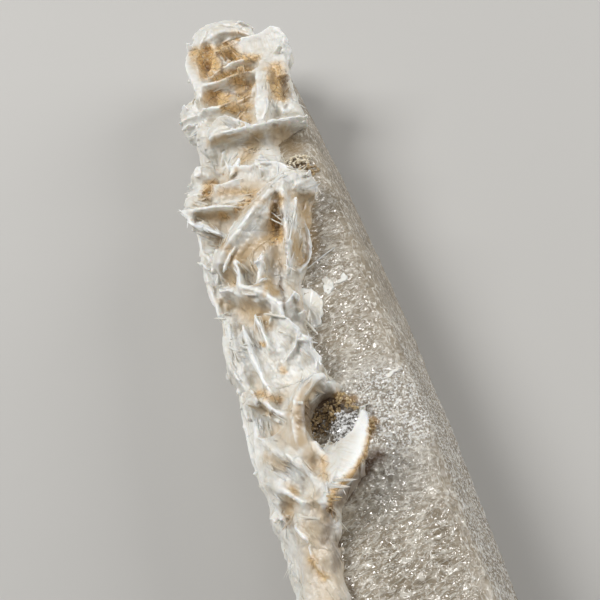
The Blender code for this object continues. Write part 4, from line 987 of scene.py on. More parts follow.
# %% Fine relief of the crust, and its numbers for the finish
TINTS = {                  # stretches from one place to another, a half width in mm and a strength
    # beige strokes: mostly the clearer beige panels, but a few, such as the one from -6.3 -21.2, are
    # painted shade
    "beige": """
        -5.2 43.8 -4.4 38.6 1.3 0.8   -1.4 43.6 -0.6 40 1.3 0.8   -3.6 37.6 -0.4 37.4 1.1 0.9
        -5 34.4 -2.6 31.2 1.3 0.8   -2.4 31 -1.6 28.8 1 0.7   -0.8 35.2 -0.9 31 0.8 0.7
        -6 18.8 -3 17.4 1.5 0.6   -9 16.6 -5.2 14.8 1.2 0.6   -2.4 11.6 -2.6 6.6 0.9 0.7
        -6.3 26.6 -3.2 27 0.8 0.8   -1.2 25.3 -3.4 22.2 1 0.9   -3.4 22.2 -5.2 20.6 0.7 0.7
        1.4 25.6 2.4 22 1.3 0.8   -9.3 15.9 -6.9 14.9 0.8 0.8   -8.6 13.8 -7.6 11 0.7 0.8
        0.8 14.8 2.4 14.2 0.9 0.8   1.6 13.4 1 7.5 0.9 1   -5.6 14.2 -4.2 15 0.6 0.7
        -6.6 8.9 -3.2 10 1.3 1   -3.4 9.8 -2 10.8 0.9 1   -6.8 7.2 -5.2 7.2 0.6 0.6
        -0.9 9.6 -0.3 6.4 1 1   -7.8 7.6 -7.6 6.2 0.7 0.8   -4.4 5.2 -3.9 3.6 0.75 1
        -3.6 7.4 -2.6 6.2 0.6 0.6   -6.8 3 -5.6 0.4 1.1 0.9   -9.3 4 -8.8 3.4 0.7 0.7
        -3.2 -7.6 -4.6 -9.3 0.9 0.9   -4.6 -9.3 -5.2 -12.4 0.9 0.9   -7.8 -8.2 -6.9 -9 0.5 0.8
        -8.2 -13 -7.2 -14.2 0.6 0.7   -4.6 -13.6 -4.6 -15 0.8 0.7   -7 -16.6 -8 -18.9 0.7 0.8
        -5.2 -18 -4.9 -19.8 0.8 0.7   -6.3 -21.2 -6 -22 0.7 0.5   2.4 33 3.2 30.4 0.8 0.7
        -2.2 3.8 -1.6 0.6 0.5 0.5   -6.2 -12 -6.6 -11 0.7 0.5   -6 -20.5 -6.4 -33 1.7 0.6
        2 36.6 1.6 38.6 0.5 0.4""",
    "ochre": """
        -5 43.6 -4.6 38.8 1.1 0.9   -1.3 43.6 -0.9 40.6 1 0.85   -3.4 37.6 -0.4 37.6 1 0.9
        -5 34.4 -2.6 31.6 1 0.8   -1.6 34.6 -1.2 31 0.7 0.8   -6.4 18.6 -3.2 17.2 0.7 0.55
        -3.9 43.8 -3.5 39.6 1.15 1   -2.6 43.4 -2.2 42 0.8 0.9   -0.6 40.6 1.3 39.3 0.75 1
        0 43.9 0.1 44.3 0.45 1   -0.3 45.9 0.9 45.3 0.6 0.4   -1.6 35.9 -0.6 34.7 1 1
        -4.8 35.1 -2.9 33.9 0.75 1   -3.9 31.7 -1.8 30.5 0.65 1   -1.85 29.9 -1.7 29 0.6 0.6
        -1.6 31 -0.6 33.4 0.5 0.6   2.1 35 2.2 34.2 0.5 0.8   3.3 36.3 2.8 31.3 1.2 1
        -7.5 20.2 -8.4 18.5 0.75 0.9   -5.4 15.3 -4 16.2 0.45 1   -4.35 17.6 -3.5 16.9 0.5 0.7
        -7 15.2 -6.7 14.8 0.5 0.9   -3.4 15.4 -2.4 15.3 0.5 0.4   -1.9 12.4 -2.2 10 0.85 1
        -0.9 15.2 -1.8 13.2 0.7 0.9   -6.35 -1.7 -6.2 -1.9 0.3 0.9   -5.1 -4.9 -5 -5.3 0.3 0.8
        -7.6 -6.8 -6.1 -7.9 0.5 0.8   -0.9 -9.4 0.3 -10 0.6 1   1.7 -12.4 0.9 -13.4 0.4 1
        0.9 -13.4 -0.1 -15.2 0.32 1   -0.1 -15.2 -1.96 -16.8 0.3 1   -1.96 -16.8 -3.6 -17.6 0.3 1
        -3.6 -17.6 -4.2 -18.9 0.35 1   -3.6 -14.6 -3.9 -16.2 0.4 0.7   -6.7 -22.6 -6.2 -24.3 0.38 0.8
        2.2 20 2.9 19.5 0.5 0.3   -6.9 -16.5 -6.7 -16.9 0.3 0.5   -2.6 -4.2 -2.2 -4.8 0.2 0.3
        -5.8 -26.5 -5.4 -27.3 0.4 0.6   -9.6 0.8 -9.5 0.4 0.2 0.3   -4.6 4.2 -4.9 3.4 0.2 0.5
        -7 10.6 -7.4 9.8 0.25 0.4""",
    # dark brown strokes: cracks and clay, and painted shadow under overhangs, beneath the nub, beside the
    # flap and in the pocket's dark pit
    "umber": """
        -2.95 42.7 -2.5 40.6 0.16 1   -2.5 40.6 -3 38.3 0.18 1   -1.3 43.2 -1.1 42 0.16 0.9
        -0.75 41.3 0.3 40.6 0.11 0.9   0.3 40.6 0.95 38.9 0.13 0.9   0.95 38.9 1.4 38 0.16 0.7
        -2.6 34.4 -1.6 33.4 0.2 1   -1.6 33.4 -0.5 33.9 0.28 1   -0.5 33.9 -0.2 35.4 0.2 0.8
        -4.2 35.5 -2.8 34.9 0.16 0.9   -4.1 31.9 -3.2 32.2 0.16 0.9   3.9 33.6 3.3 31 0.4 1
        3.2 29.2 2.9 28.8 0.2 0.9   2.9 35.6 2.5 33.8 0.4 0.8   1 26.5 1.1 26.3 0.2 0.8
        -5.5 24.7 -5.1 24.9 0.14 0.8   -4 19.5 -3.95 19.2 0.2 0.7   -8.6 18.5 -8.4 18.2 0.32 0.9
        -3.7 16.8 -3.5 16.5 0.2 0.8   -5.2 15.4 -4.6 15.8 0.16 0.8   2 19.3 3.4 19 0.4 0.8
        -0.9 15 -1.9 13.3 0.3 1   -1.1 13.2 -1 12.6 0.36 1   -1.9 11.2 -2.1 10.4 0.3 0.9
        -2.9 5.1 -3.15 4 0.16 1   -3.15 4 -3.1 2.6 0.12 1   -3.1 2.6 -3.4 1.4 0.16 1
        -2.4 7.2 -2.6 5.8 0.1 0.8   -7.4 2.7 -7.2 2.5 0.15 0.8   -6.2 3.9 -5.9 3.7 0.2 0.6
        -8.4 2.2 -8.6 -2.6 0.2 0.5   -6 1.6 -5.7 1.4 0.14 0.8   -6.9 -8.9 -6.8 -9.2 0.18 0.9
        -4 -9.9 -2 -9.2 0.7 1   -4.3 -10.6 -3.4 -11.4 0.7 1   -2.8 -10.4 -1.2 -10.2 0.9 1
        -0.8 -11.1 0.1 -11 0.14 0.9   -1.9 -13.2 -2.6 -13.4 0.16 0.6   1 -15.6 -1.5 -17.4 0.7 1
        -1.5 -17.4 -3.6 -18.8 0.6 1   -4.1 -18.8 -4.3 -19.1 0.3 1   -4.2 -19.4 -5.3 -21.4 0.45 0.8
        -4.4 -21.8 -5 -23.7 0.4 0.8   -7.8 -19.2 -7.6 -19.4 0.35 0.8   -5.8 -15.6 -5.7 -15.9 0.12 0.7
        -4.2 -24.9 -4.2 -27.2 0.1 0.6   -7.7 17 -7.2 16.7 0.15 0.5   1.4 -10.6 1.9 -11.8 0.2 0.4""",
}
SLANT = (0.59, 0.0125)     # the hollows open towards the thick end: how far along per mm of height
LEVEL = 2.5                # mm over the crown, the height at which the stretches above are given
CREST_FULL = (0.24, 0.42)    # how full the narrow surroundings are on a crest, and beside it
HOLLOW_FULL = (0.50, 0.74)   # how full the wide surroundings are on a flat wall, and in a hollow


def tint_sheet(points):
    """Where a point lies on the slanting sheet on which the tints are laid out."""
    lift = points[:, 2] - crown(points[:, 1])
    along = points[:, 1] + (SLANT[0] + SLANT[1] * points[:, 1]) * (lift - LEVEL)
    return np.stack([points[:, 0], along], axis=1)


def tint_at(points, outward, name):
    """Strength of one tint at each point; it fades where the skin faces away from the opening."""
    sheet = tint_sheet(points)
    wobble = 0.30 * noise(points, 0.9, 61) + 0.20 * noise(points, 0.35, 62)
    strength = np.zeros(len(points))
    for *ends, half, amount in grid_of(TINTS[name], 6):
        start, run = np.array(ends[:2]), np.subtract(ends[2:], ends[:2])
        share = np.clip(((sheet - start) @ run) / (run @ run), 0.0, 1.0)
        away = np.linalg.norm(sheet - start - share[:, None] * run, axis=1) + wobble * min(1.0, 1.6 * half)
        strength = np.maximum(strength, amount * (1.0 - soft_step(0.15 * half, 1.6 * half, away)))
    facing = soft_step(-0.15, 0.25, outward @ unit(np.array([0.0, -SLANT[0], 1.0])))
    return strength * facing


sheet_points, *sheet_facts = (np.concatenate(part) for part in zip(*sheets))
sheet_tree = search_tree(sheet_points)


def fibres_at(points):
    """For each point, its distances across and along the fibres of the nearest blade, and their way."""
    nearest = np.array([sheet_tree.find(point)[1] for point in points])
    across, along, across_ways, along_ways = (fact[nearest] for fact in sheet_facts)
    away = points - sheet_points[nearest]
    across = across + (away * across_ways).sum(axis=1)
    along = along + (away * along_ways).sum(axis=1)
    return np.stack([across, along, 0.0 * across], axis=1), along_ways


for piece in crust_pieces:
    points, outward = points_of(piece), normals_of(piece)
    crest = 1.0 - soft_step(*CREST_FULL, sample(narrow, points))
    fibres, fibre_way = fibres_at(points)
    fibred = soft_step(-0.25, 0.25, noise(points, 4.0, 73))
    smooth = 1.0 - reduce(np.minimum, panel_edges(points))
    lift = (0.055 * noise(points, 0.5, 71) + 0.03 * noise(points, 0.3, 74)) * (1.0 - 0.7 * smooth)
    lift += (0.03 + 0.035 * fibred) * (1.0 - 0.5 * smooth) * ridges(fibres, (0.42, 3.5, 1.0), 72)
    lift *= 1.0 - 0.6 * crest
    for _, seam, _ in CRUST_PIECES[:-1]:
        lift *= soft_step(0.0, 0.35, np.abs(points[:, 1] - seam))
    # crest and hollow drive the finish's painted highlight on the crests and its painted shade in every
    # hollow
    for name, values in {"fibres": fibres, "fibre_way": fibre_way, "crest": crest,
                         "hollow": soft_step(*HOLLOW_FULL, sample(wide, points))}.items():
        keep(piece, name, values)
    moved = (points + outward * lift[:, None] + BOX_SHIFT) * MM
    piece.data.vertices.foreach_set("co", moved.astype(np.float32).ravel())
    for name in TINTS:
        keep(piece, name, tint_at(points, outward, name))
    piece.data.update()
for name in TINTS:
    keep(shaft_skin, name, tint_at(points_of(shaft_skin), normals_of(shaft_skin), name))

# %% [markdown]
# ## Finishes
# Quartz is clear, yet this piece looks white and frosted: every etched or dissolved surface scatters
# the light before it gets in, and veils of tiny bubbles scatter what does. That is modelled with light
# that goes in under the surface and comes out again some tenths of a millimetre away, plus fine bumps.

# %% Helpers for materials
QUARTZ_IOR = 1.544


def colour(code):
    """An sRGB hex colour as the linear values that Blender reckons with."""
    parts = [int(code[k:k + 2], 16) / 255 for k in (0, 2, 4)]
    return (*[part / 12.92 if part <= 0.04045 else ((part + 0.055) / 1.055) ** 2.4 for part in parts], 1.0)


def feed(tree, node, inputs):
    """Give a node's inputs their values, or link them to the sockets or nodes that feed them."""
    for name, value in inputs.items():
        if isinstance(value, bpy.types.Node):
            value = value.outputs[0]
        if isinstance(value, bpy.types.NodeSocket):
            tree.links.new(value, node.inputs[name])
        else:
            node.inputs[name].default_value = value


def add(tree, kind, inputs=None, **settings):
    """Add a node with its settings and what feeds its inputs."""
    made = tree.nodes.new(kind)
    for name, value in settings.items():
        setattr(made, name, value)
    feed(tree, made, inputs or {})
    return made


def painted(tree, look, layers):
    """Colours laid over one another; a layer is the share that it covers, and its colour."""
    for share, over in layers:
        under, over = (colour(part) if isinstance(part, str) else part for part in (look, over))
        look = add(tree, "ShaderNodeMix", {0: share, 6: under, 7: over}, data_type="RGBA").outputs[2]
    return look


def start_material(name):
    material = bpy.data.materials.new(name)
    material.use_nodes = True
    tree = material.node_tree
    return material, tree, tree.nodes["Principled BSDF"]


def per_mm(size):
    """The Scale of a noise texture whose lumps measure that many mm, on coordinates in metres."""
    return 1.0 / (size * MM)

# %% Milky bladed quartz: the crust
FIBRE = (1.0 / 0.15, 1.0 / 2.2, 1.0)    # a fibre is 0.15 mm wide, and its shade changes every 2.2 mm


def milky_bladed_quartz():
    # Milky quartz in thin sheets, grown free and partly dissolved: waxy, with its edges painted brighter as
    # a painted highlight, clearer and beige between them, striped along its fibres, with ochre clay in some
    # hollows, every hollow painted a darker tan as painted shade, and dark brown strokes that are partly
    # cracks and clay and partly painted shadow.
    material, tree, shader = start_material("milky_bladed_quartz")
    where = add(tree, "ShaderNodeTexCoord").outputs["Object"]
    crest, hollow, beige, ochre, umber = (
        add(tree, "ShaderNodeAttribute", attribute_name=name).outputs["Fac"]
        for name in ("crest", "hollow", *TINTS))
    fibres = add(tree, "ShaderNodeAttribute", attribute_name="fibres").outputs["Vector"]
    drawn = add(tree, "ShaderNodeVectorMath", {0: fibres, 1: FIBRE}, operation="MULTIPLY")
    fibre = add(tree, "ShaderNodeTexNoise", {"Vector": drawn, "Scale": 1.0, "Detail": 3.0})
    cloud, grain = (
        add(tree, "ShaderNodeTexNoise", {"Vector": where, "Scale": per_mm(size), "Detail": detail})
        for size, detail in ((1.6, 4.0), (0.28, 3.0)))
    shrinkage = add(tree, "ShaderNodeTexVoronoi", {"Vector": where, "Scale": per_mm(1.3)},
                    feature="DISTANCE_TO_EDGE")
    clear, stripe, mottle, crack = (
        add(tree, "ShaderNodeMapRange", {"Value": value, "From Min": low, "From Max": high, "To Max": most})
        for value, low, high, most in ((cloud, 0.45, 0.75, 1.0), (fibre, 0.52, 0.30, 0.36),
                                       (grain, 0.3, 0.7, 1.0), (shrinkage, 0.05, 0.0, 0.8)))
    # deep is every hollow painted a darker tan, a painted shade; dark is the brown strokes, partly cracks
    # and clay and partly painted shadow
    deep, crack_in_clay, dark = (
        add(tree, "ShaderNodeMath", {0: one, 1: other}, operation="MULTIPLY")
        for one, other in ((hollow, 0.42), (crack, ochre), (umber, 0.7)))
    clay = painted(tree, "E8C88E", [(mottle, "BE9660")])
    # the near-white crest layer is a painted highlight on the crests
    look = painted(tree, "E6E5DF", [
        (clear, "D8D1C2"), (deep, "CDB795"), (beige, "C4AA82"), (stripe, "CBBB9F"), (crest, "F2F2EE"),
        (ochre, clay), (crack_in_clay, "7A5B38"), (dark, "6E563B")])
    rough = add(tree, "ShaderNodeBump", {"Height": grain, "Strength": 0.6, "Distance": 0.07 * MM})
    bump = add(tree, "ShaderNodeBump", {"Height": fibre, "Strength": 0.7, "Distance": 0.09 * MM,
                                        "Normal": rough})
    feed(tree, shader, {"Base Color": look, "Normal": bump, "Roughness": 0.38, "IOR": QUARTZ_IOR,
                        "Subsurface Weight": 0.4, "Subsurface Radius": (1.0, 0.8, 0.6),
                        "Subsurface Scale": 0.3 * MM})
    return material

# %% Etched quartz: the shaft
def glinting(tree, where, size, amount):
    """A surface direction that jumps a little from cell to cell, as small crystal faces do."""
    cells = add(tree, "ShaderNodeTexVoronoi", {"Vector": where, "Scale": per_mm(size)}).outputs["Color"]
    middle = add(tree, "ShaderNodeVectorMath", {0: cells, 1: (0.5, 0.5, 0.5)}, operation="SUBTRACT")
    tilt = add(tree, "ShaderNodeVectorMath", {0: middle, "Scale": amount}, operation="SCALE")
    plain = add(tree, "ShaderNodeNewGeometry").outputs["Normal"]
    leaning = add(tree, "ShaderNodeVectorMath", {0: plain, 1: tilt}, operation="ADD")
    return add(tree, "ShaderNodeVectorMath", {0: leaning}, operation="NORMALIZE")


def wavy_lines(tree, where, stretch, size, width):
    """Thin wavy lines, 1 on a line and 0 beside it: they follow the middle value of a stretched noise."""
    drawn = add(tree, "ShaderNodeVectorMath", {0: where, 1: stretch}, operation="MULTIPLY")
    wave = add(tree, "ShaderNodeTexNoise", {"Vector": drawn, "Scale": per_mm(size), "Detail": 1.5,
                                            "Distortion": 0.4})
    middle = add(tree, "ShaderNodeMath", {0: wave, 1: 0.5}, operation="SUBTRACT")
    away = add(tree, "ShaderNodeMath", {0: middle}, operation="ABSOLUTE")
    return add(tree, "ShaderNodeMapRange", {"Value": away, "From Min": width, "From Max": 0.0},
               interpolation_type="SMOOTHSTEP")


def etched_quartz():
    # Clear quartz with an acid-etched, silky skin: grey-beige, because most light goes in and is lost, with
    # fine ridges painted pale as a painted highlight, darker in the furrows, white speckles in the
    # glittering band that are partly frost and partly painted glints, and small bright faces that glint.
    material, tree, shader = start_material("etched_quartz")
    where = add(tree, "ShaderNodeTexCoord").outputs["Object"]
    etched_deep, near_edge, glitter, sugar, beige, ochre, umber = (
        add(tree, "ShaderNodeAttribute", attribute_name=name).outputs["Fac"] for name in (*marks, *TINTS))
    veil, grain, patches = (
        add(tree, "ShaderNodeTexNoise", {"Vector": where, "Scale": per_mm(size), "Detail": detail})
        for size, detail in ((3.0, 5.0), (0.22, 3.0), (0.7, 2.0)))
    uphill = add(tree, "ShaderNodeVectorRotate", {"Vector": where, "Angle": -RIDGE_RUN},
                 rotation_type="Z_AXIS")
    coarse, fine, lengthwise = (wavy_lines(tree, *line) for line in (
        (uphill, (0.38, 1.0, 1.0), 0.62, 0.075), (uphill, (0.55, 1.0, 1.0), 0.36, 0.06),
        (where, (1.0, 0.30, 1.0), 0.50, 0.075)))
    both = add(tree, "ShaderNodeMath", {0: coarse, 1: fine}, operation="MAXIMUM")
    ridges_here = add(tree, "ShaderNodeMix", {0: near_edge, 2: both, 3: lengthwise})
    faded, frost_and_glints, bright, tilt, polish = (
        add(tree, "ShaderNodeMapRange", {"Value": value, "From Min": low, "From Max": high,
                                         "To Min": least, "To Max": most})
        for value, low, high, least, most in (
            (patches, 0.38, 0.60, 0.22, 0.70), (grain, 0.50, 0.58, 0.0, 0.85), (veil, 0.35, 0.65, 0.0, 1.0),
            (glitter, -1.2, 1.0, 0.0, 0.60), (glitter, 0.0, 1.0, 0.18, 0.09)))
    lines, deep, sugary, banded_frost_and_glints, murk = (
        add(tree, "ShaderNodeMath", {0: one, 1: other}, operation="MULTIPLY")
        for one, other in ((ridges_here, faded), (etched_deep, 0.5), (sugar, 0.45), (frost_and_glints, glitter),
                           (glitter, 0.5)))
    # the pale ridge lines are a painted highlight, the white speckles in the glittering band are partly
    # frost and partly painted glints, the furrows are only painted darker, and the dark brown layer is
    # partly painted shadow
    look = painted(tree, "877A65", [
        (bright, "ADA290"), (sugary, "C4BFB5"), (deep, "75674F"), (murk, "796E5C"), (lines, "EAE5DA"),
        (banded_frost_and_glints, "F3F2EE"), (beige, "9C8663"), (ochre, "A88658"), (umber, "5A4531")])
    small = add(tree, "ShaderNodeBump", {"Height": grain, "Strength": 0.4, "Distance": 0.05 * MM,
                                         "Normal": glinting(tree, where, 0.20, tilt)})
    bump = add(tree, "ShaderNodeBump", {"Height": ridges_here, "Strength": 0.8, "Distance": 0.05 * MM,
                                        "Normal": small})
    feed(tree, shader, {"Base Color": look, "Normal": bump, "Roughness": polish, "IOR": QUARTZ_IOR,
                        "Subsurface Weight": 0.2, "Subsurface Radius": (1.0, 0.85, 0.65),
                        "Subsurface Scale": 0.4 * MM})
    return material

# %% Druse and crumbs
def clear_druse_quartz():
    # Small grey quartz points with white spots painted on as painted glints: glassy faces that let a little
    # light through.
    material, tree, shader = start_material("clear_druse_quartz")
    where = add(tree, "ShaderNodeTexCoord").outputs["Object"]
    spark = add(tree, "ShaderNodeTexNoise", {"Vector": where, "Scale": per_mm(0.26), "Detail": 2.0})
    bright = add(tree, "ShaderNodeMapRange", {"Value": spark, "From Min": 0.42, "From Max": 0.56})
    # the white spots are painted glints on the grey points
    look = painted(tree, "6F6A62", [(bright, "FBFBFA")])
    feed(tree, shader, {"Base Color": look, "Roughness": 0.06, "IOR": QUARTZ_IOR,
                        "Transmission Weight": 0.15, "Coat Weight": 1.0, "Coat Roughness": 0.03})
    return material


def clay_stained_grains():
    # Broken quartz grains glued by clay: from cream to honey and dark brown, as their stain says.
    material, tree, shader = start_material("clay_stained_grains")
    where = add(tree, "ShaderNodeTexCoord").outputs["Object"]
    given = add(tree, "ShaderNodeAttribute", attribute_name="stain").outputs["Fac"]
    mottle = add(tree, "ShaderNodeTexNoise", {"Vector": where, "Scale": per_mm(0.5), "Detail": 2.0})
    swing = add(tree, "ShaderNodeMath", {0: mottle, 1: 0.9, 2: -0.45}, operation="MULTIPLY_ADD")
    stain = add(tree, "ShaderNodeMath", {0: given, 1: swing}, operation="ADD")
    shades = add(tree, "ShaderNodeValToRGB", {"Fac": stain})
    stops = shades.color_ramp.elements
    for share in (0.35, 0.7):
        stops.new(share)
    for stop, code in zip(stops, ("E8E0CC", "C2A878", "8B7350", "4C3E2E")):
        stop.color = colour(code)
    feed(tree, shader, {"Base Color": shades, "Roughness": 0.45, "IOR": QUARTZ_IOR})
    return material


crust_finish = milky_bladed_quartz()
for piece in crust_pieces:
    piece.data.materials.append(crust_finish)
shaft_skin.data.materials.append(etched_quartz())
print("finishes:", [material.name for material in bpy.data.materials])

# %% [markdown]
# ## Splinters, points and crumbs
# The blades fray into splinters, the pocket is lined with a druse of tiny points, and broken grains
# lie in the hollows. Each kind is one small shape repeated hundreds of times over a surface, so one
# Geometry Nodes tree sows them: it scatters points where an attribute allows, turns a copy to the
# way that another attribute gives, leans and spins it by chance, and gives it a random size.

# %% The shapes that are repeated
def small_shape(name, rings, tip):
    """A small closed shape round Z, in mm: rings of points, closed flat below and to a tip above."""
    shape = bmesh.new()
    loops = [[shape.verts.new(Vector(point) * MM) for point in ring] for ring in rings]
    top = shape.verts.new(Vector(tip) * MM)
    for one, two in zip(loops, [*loops[1:], None]):
        for here, following in zip(one, one[1:] + one[:1]):
            above = (top,) if two is None else (two[one.index(following)], two[one.index(here)])
            shape.faces.new((here, following, *above))
    shape.faces.new(loops[0][::-1])
    mesh = bpy.data.meshes.new(name)
    shape.to_mesh(mesh)
    shape.free()
    return bpy.data.objects.new(name, mesh)


def ring_at(height, half_x, half_y, sides, shift=0.0):
    steps = (2.0 * math.pi * (index + 0.5) / sides for index in range(sides))
    return [(half_x * math.cos(angle) + shift, half_y * math.sin(angle), height) for angle in steps]


splinter = small_shape("splinter", [ring_at(-0.35, 0.5, 0.5, 4), ring_at(0.25, 0.5, 0.45, 4),
                                    ring_at(0.7, 0.34, 0.3, 4, 0.06)], (0.14, 0.0, 1.0))
quartz_point = small_shape("quartz_point", [ring_at(-0.5, 0.36, 0.36, 6), ring_at(0.45, 0.34, 0.34, 6)],
                           (0.03, 0.02, 0.85))
crumb = small_shape("crumb", [ring_at(-0.42, 0.3, 0.34, 5), ring_at(-0.1, 0.52, 0.46, 5, 0.05),
                              ring_at(0.28, 0.4, 0.44, 5, -0.06)], (0.08, -0.05, 0.5))


# %% The tree that sows them
SOCKETS = {"Geometry": "Geometry", "Density": "Float", "Seed": "Int", "Least": "Vector",
           "Greatest": "Vector", "Lean": "Float", "Spin": "Float"}
SPIN_SEED, SIZE_SEED = 5, 9
PER_MM2 = 1e6              # a density per square mm, as one per square metre
FULL_TURN = 6.28           # radians


def sowing_tree(name, grain_shape, material):
    tree = bpy.data.node_groups.new(name, "GeometryNodeTree")
    for label, kind in SOCKETS.items():
        tree.interface.new_socket(label, in_out="INPUT", socket_type="NodeSocket" + kind)
    tree.interface.new_socket("Geometry", in_out="OUTPUT", socket_type="NodeSocketGeometry")
    given = add(tree, "NodeGroupInput").outputs
    sow, way = (add(tree, "GeometryNodeInputNamedAttribute", {"Name": label}, data_type=kind)
                for label, kind in (("sow", "FLOAT"), ("grow_way", "FLOAT_VECTOR")))
    density = add(tree, "ShaderNodeMath", {0: given["Density"], 1: sow}, operation="MULTIPLY")
    spread = add(tree, "GeometryNodeDistributePointsOnFaces",
                 {"Mesh": given["Geometry"], "Density": density, "Seed": given["Seed"]})
    lean = add(tree, "FunctionNodeRandomValue", {"Min": (-1.0, -1.0, -1.0), "Max": (1.0, 1.0, 1.0),
                                                 "Seed": given["Seed"]}, data_type="FLOAT_VECTOR")
    leaning = add(tree, "ShaderNodeVectorMath", {0: lean, "Scale": given["Lean"]}, operation="SCALE")
    aimed = add(tree, "ShaderNodeVectorMath", {0: way, 1: leaning}, operation="ADD")
    aim = add(tree, "FunctionNodeAlignRotationToVector", {"Vector": aimed}, axis="Z")
    flat = add(tree, "FunctionNodeAlignRotationToVector",
               {"Rotation": aim, "Vector": spread.outputs["Normal"]}, axis="Y", pivot_axis="Z")
    spin = add(tree, "FunctionNodeRandomValue", {2: 0.0, 3: given["Spin"], "Seed": SPIN_SEED},
               data_type="FLOAT").outputs[1]
    spin = add(tree, "FunctionNodeEulerToRotation", {0: add(tree, "ShaderNodeCombineXYZ", {"Z": spin})})
    turn = add(tree, "FunctionNodeRotateRotation", {0: flat, 1: spin}, rotation_space="LOCAL")
    size = add(tree, "FunctionNodeRandomValue", {"Min": given["Least"], "Max": given["Greatest"],
                                                 "Seed": SIZE_SEED}, data_type="FLOAT_VECTOR")
    shape = add(tree, "GeometryNodeObjectInfo", {"Object": grain_shape}).outputs["Geometry"]
    copies = add(tree, "GeometryNodeInstanceOnPoints",
                 {"Points": spread, "Instance": shape, "Rotation": turn, "Scale": size})
    real = add(tree, "GeometryNodeRealizeInstances", {"Geometry": copies})
    coloured = add(tree, "GeometryNodeSetMaterial", {"Geometry": real, "Material": material})
    add(tree, "NodeGroupOutput", {"Geometry": coloured})
    return tree


def sown(name, host, tree, density, seed, least, greatest, lean, spin=FULL_TURN):
    """A plain mesh piece of the copies that the tree sows over the host; density is per square mm."""
    modifier = host.modifiers.new("sowing", "NODES")
    modifier.node_group = tree
    values = {"Density": density * PER_MM2, "Seed": seed, "Least": least, "Greatest": greatest,
              "Lean": lean, "Spin": spin}
    for socket in tree.interface.items_tree:
        if socket.in_out == "INPUT" and socket.name in values:
            modifier[socket.identifier] = values[socket.name]
    mesh = bpy.data.meshes.new_from_object(host.evaluated_get(bpy.context.evaluated_depsgraph_get()))
    host.modifiers.remove(modifier)
    mesh.name = name
    made = linked(name, mesh)
    print(name, triangles_of(made), "triangles")
    return made

# %% Splinters along the blades
splinter_tree = sowing_tree("sow_splinters", splinter, crust_finish)
splinters = []
for number, piece in enumerate(crust_pieces):
    points, outward = points_of(piece), normals_of(piece)
    fibre_way = read(piece.data.attributes["fibre_way"].data, "vector")
    along_skin = unit(fibre_way - outward * (fibre_way * outward).sum(axis=1)[:, None])
    free_ends = np.where(noise(points, 1.5, 76) > 0.0, -1.0, 1.0)
    keep(piece, "grow_way", unit(0.08 * outward + along_skin * free_ends[:, None]))
    crowd = soft_step(-0.1, 0.4, noise(points, 2.6, 75)) * soft_step(-0.1, 0.3, outward[:, 2])
    for edge in panel_edges(points):
        crowd *= edge
    crowd *= soft_step(-33.0, -20.0, points[:, 1]) * soft_step(38.0, 30.0, points[:, 1])
    keep(piece, "sow", crowd)
    splinters.append(sown(piece.name.replace("crust", "splinters"), piece, splinter_tree, density=2.2,
                          seed=31 + number, least=(0.14, 0.08, 0.6), greatest=(0.34, 0.13, 1.6),
                          lean=0.06, spin=0.5))

# %% [markdown]
# ## What lies in the pocket and on the shaft
# The pocket's right half holds a patch of sparkling points, its left half is a dark pit with grains,
# and honey-coloured grains sit on its upper rim. Further up the shaft there is a crumbly pit. A few
# thin white flakes lie flat on the shaft, and loose needles lie on it and across the blades.

# %% Beds for the druse and the crumbs
Bed = namedtuple("Bed", "name centre radii stain")

DRUSE_BED = Bed("druse_bed", (-0.85, -11.7, 0.35), (1.4, 1.7, 0.75), 0.0)
CRUMB_BEDS = [Bed(*row) for row in rows_of("""
    pocket_grains | -2.9 -10 -0.4 | 1.7 1.8 0.6 | 0.62;
    pocket_middle | -1.7 -9.4 0.1 | 0.8 1.1 0.6 | 0.5;
    honey_grains_a | -0.5 -8.7 0.7 | 0.6 0.5 0.6 | 0.42;
    honey_grains_b | 0.1 -9.5 0.4 | 0.5 0.6 0.6 | 0.36;
    cream_grains | 2.4 22 0 | 1.6 0.9 0.55 | 0.06;
    brown_grains | 3.1 20.3 -0.05 | 1.3 0.9 0.45 | 0.6;
    rim_grains | 1.2 -11.9 0.3 | 0.35 0.7 0.4 | 0.45""")]


def face_height(across, along):
    """Height of the shaft's front face at a place."""
    corners = section_corners(along)[[4, 3, 2]]
    return float(np.interp(across, corners[:, 0], corners[:, 1]))


def bed_ball(bed):
    """An uneven flattened ball, its centre at a height over the shaft's own skin."""
    across, along, lift = bed.centre
    middle = np.array([across, along, face_height(across, along) + lift])
    uneven = 1.0 + 0.22 * noise(BALL_POINTS * 2.0 + middle, 0.9, 77)
    made = mesh_piece(bed.name, middle + BALL_POINTS * np.array(bed.radii) * uneven[:, None], [BALL_FACES])
    outward = normals_of(made)
    keep(made, "grow_way", unit(outward + np.array([0.0, 0.0, 0.5])))
    keep(made, "sow", soft_step(-0.1, 0.3, outward[:, 2]))
    keep(made, "stain", np.full(len(outward), bed.stain))
    return made


def joined(name, pieces):
    """Join pieces into the first one."""
    with bpy.context.temp_override(active_object=pieces[0], object=pieces[0], selected_objects=pieces,
                                   selected_editable_objects=pieces):
        bpy.ops.object.join()
    pieces[0].name = name
    return pieces[0]


druse_finish = clear_druse_quartz()
druse_bed = bed_ball(DRUSE_BED)
druse_points = sown("druse_points", druse_bed, sowing_tree("sow_points", quartz_point, druse_finish),
                    density=9.0, seed=51, least=(0.30, 0.30, 0.32), greatest=(0.60, 0.60, 0.62), lean=0.8)
druse_bed.data.materials.append(druse_finish)
druse = joined("sparkling_druse", [druse_bed, druse_points])

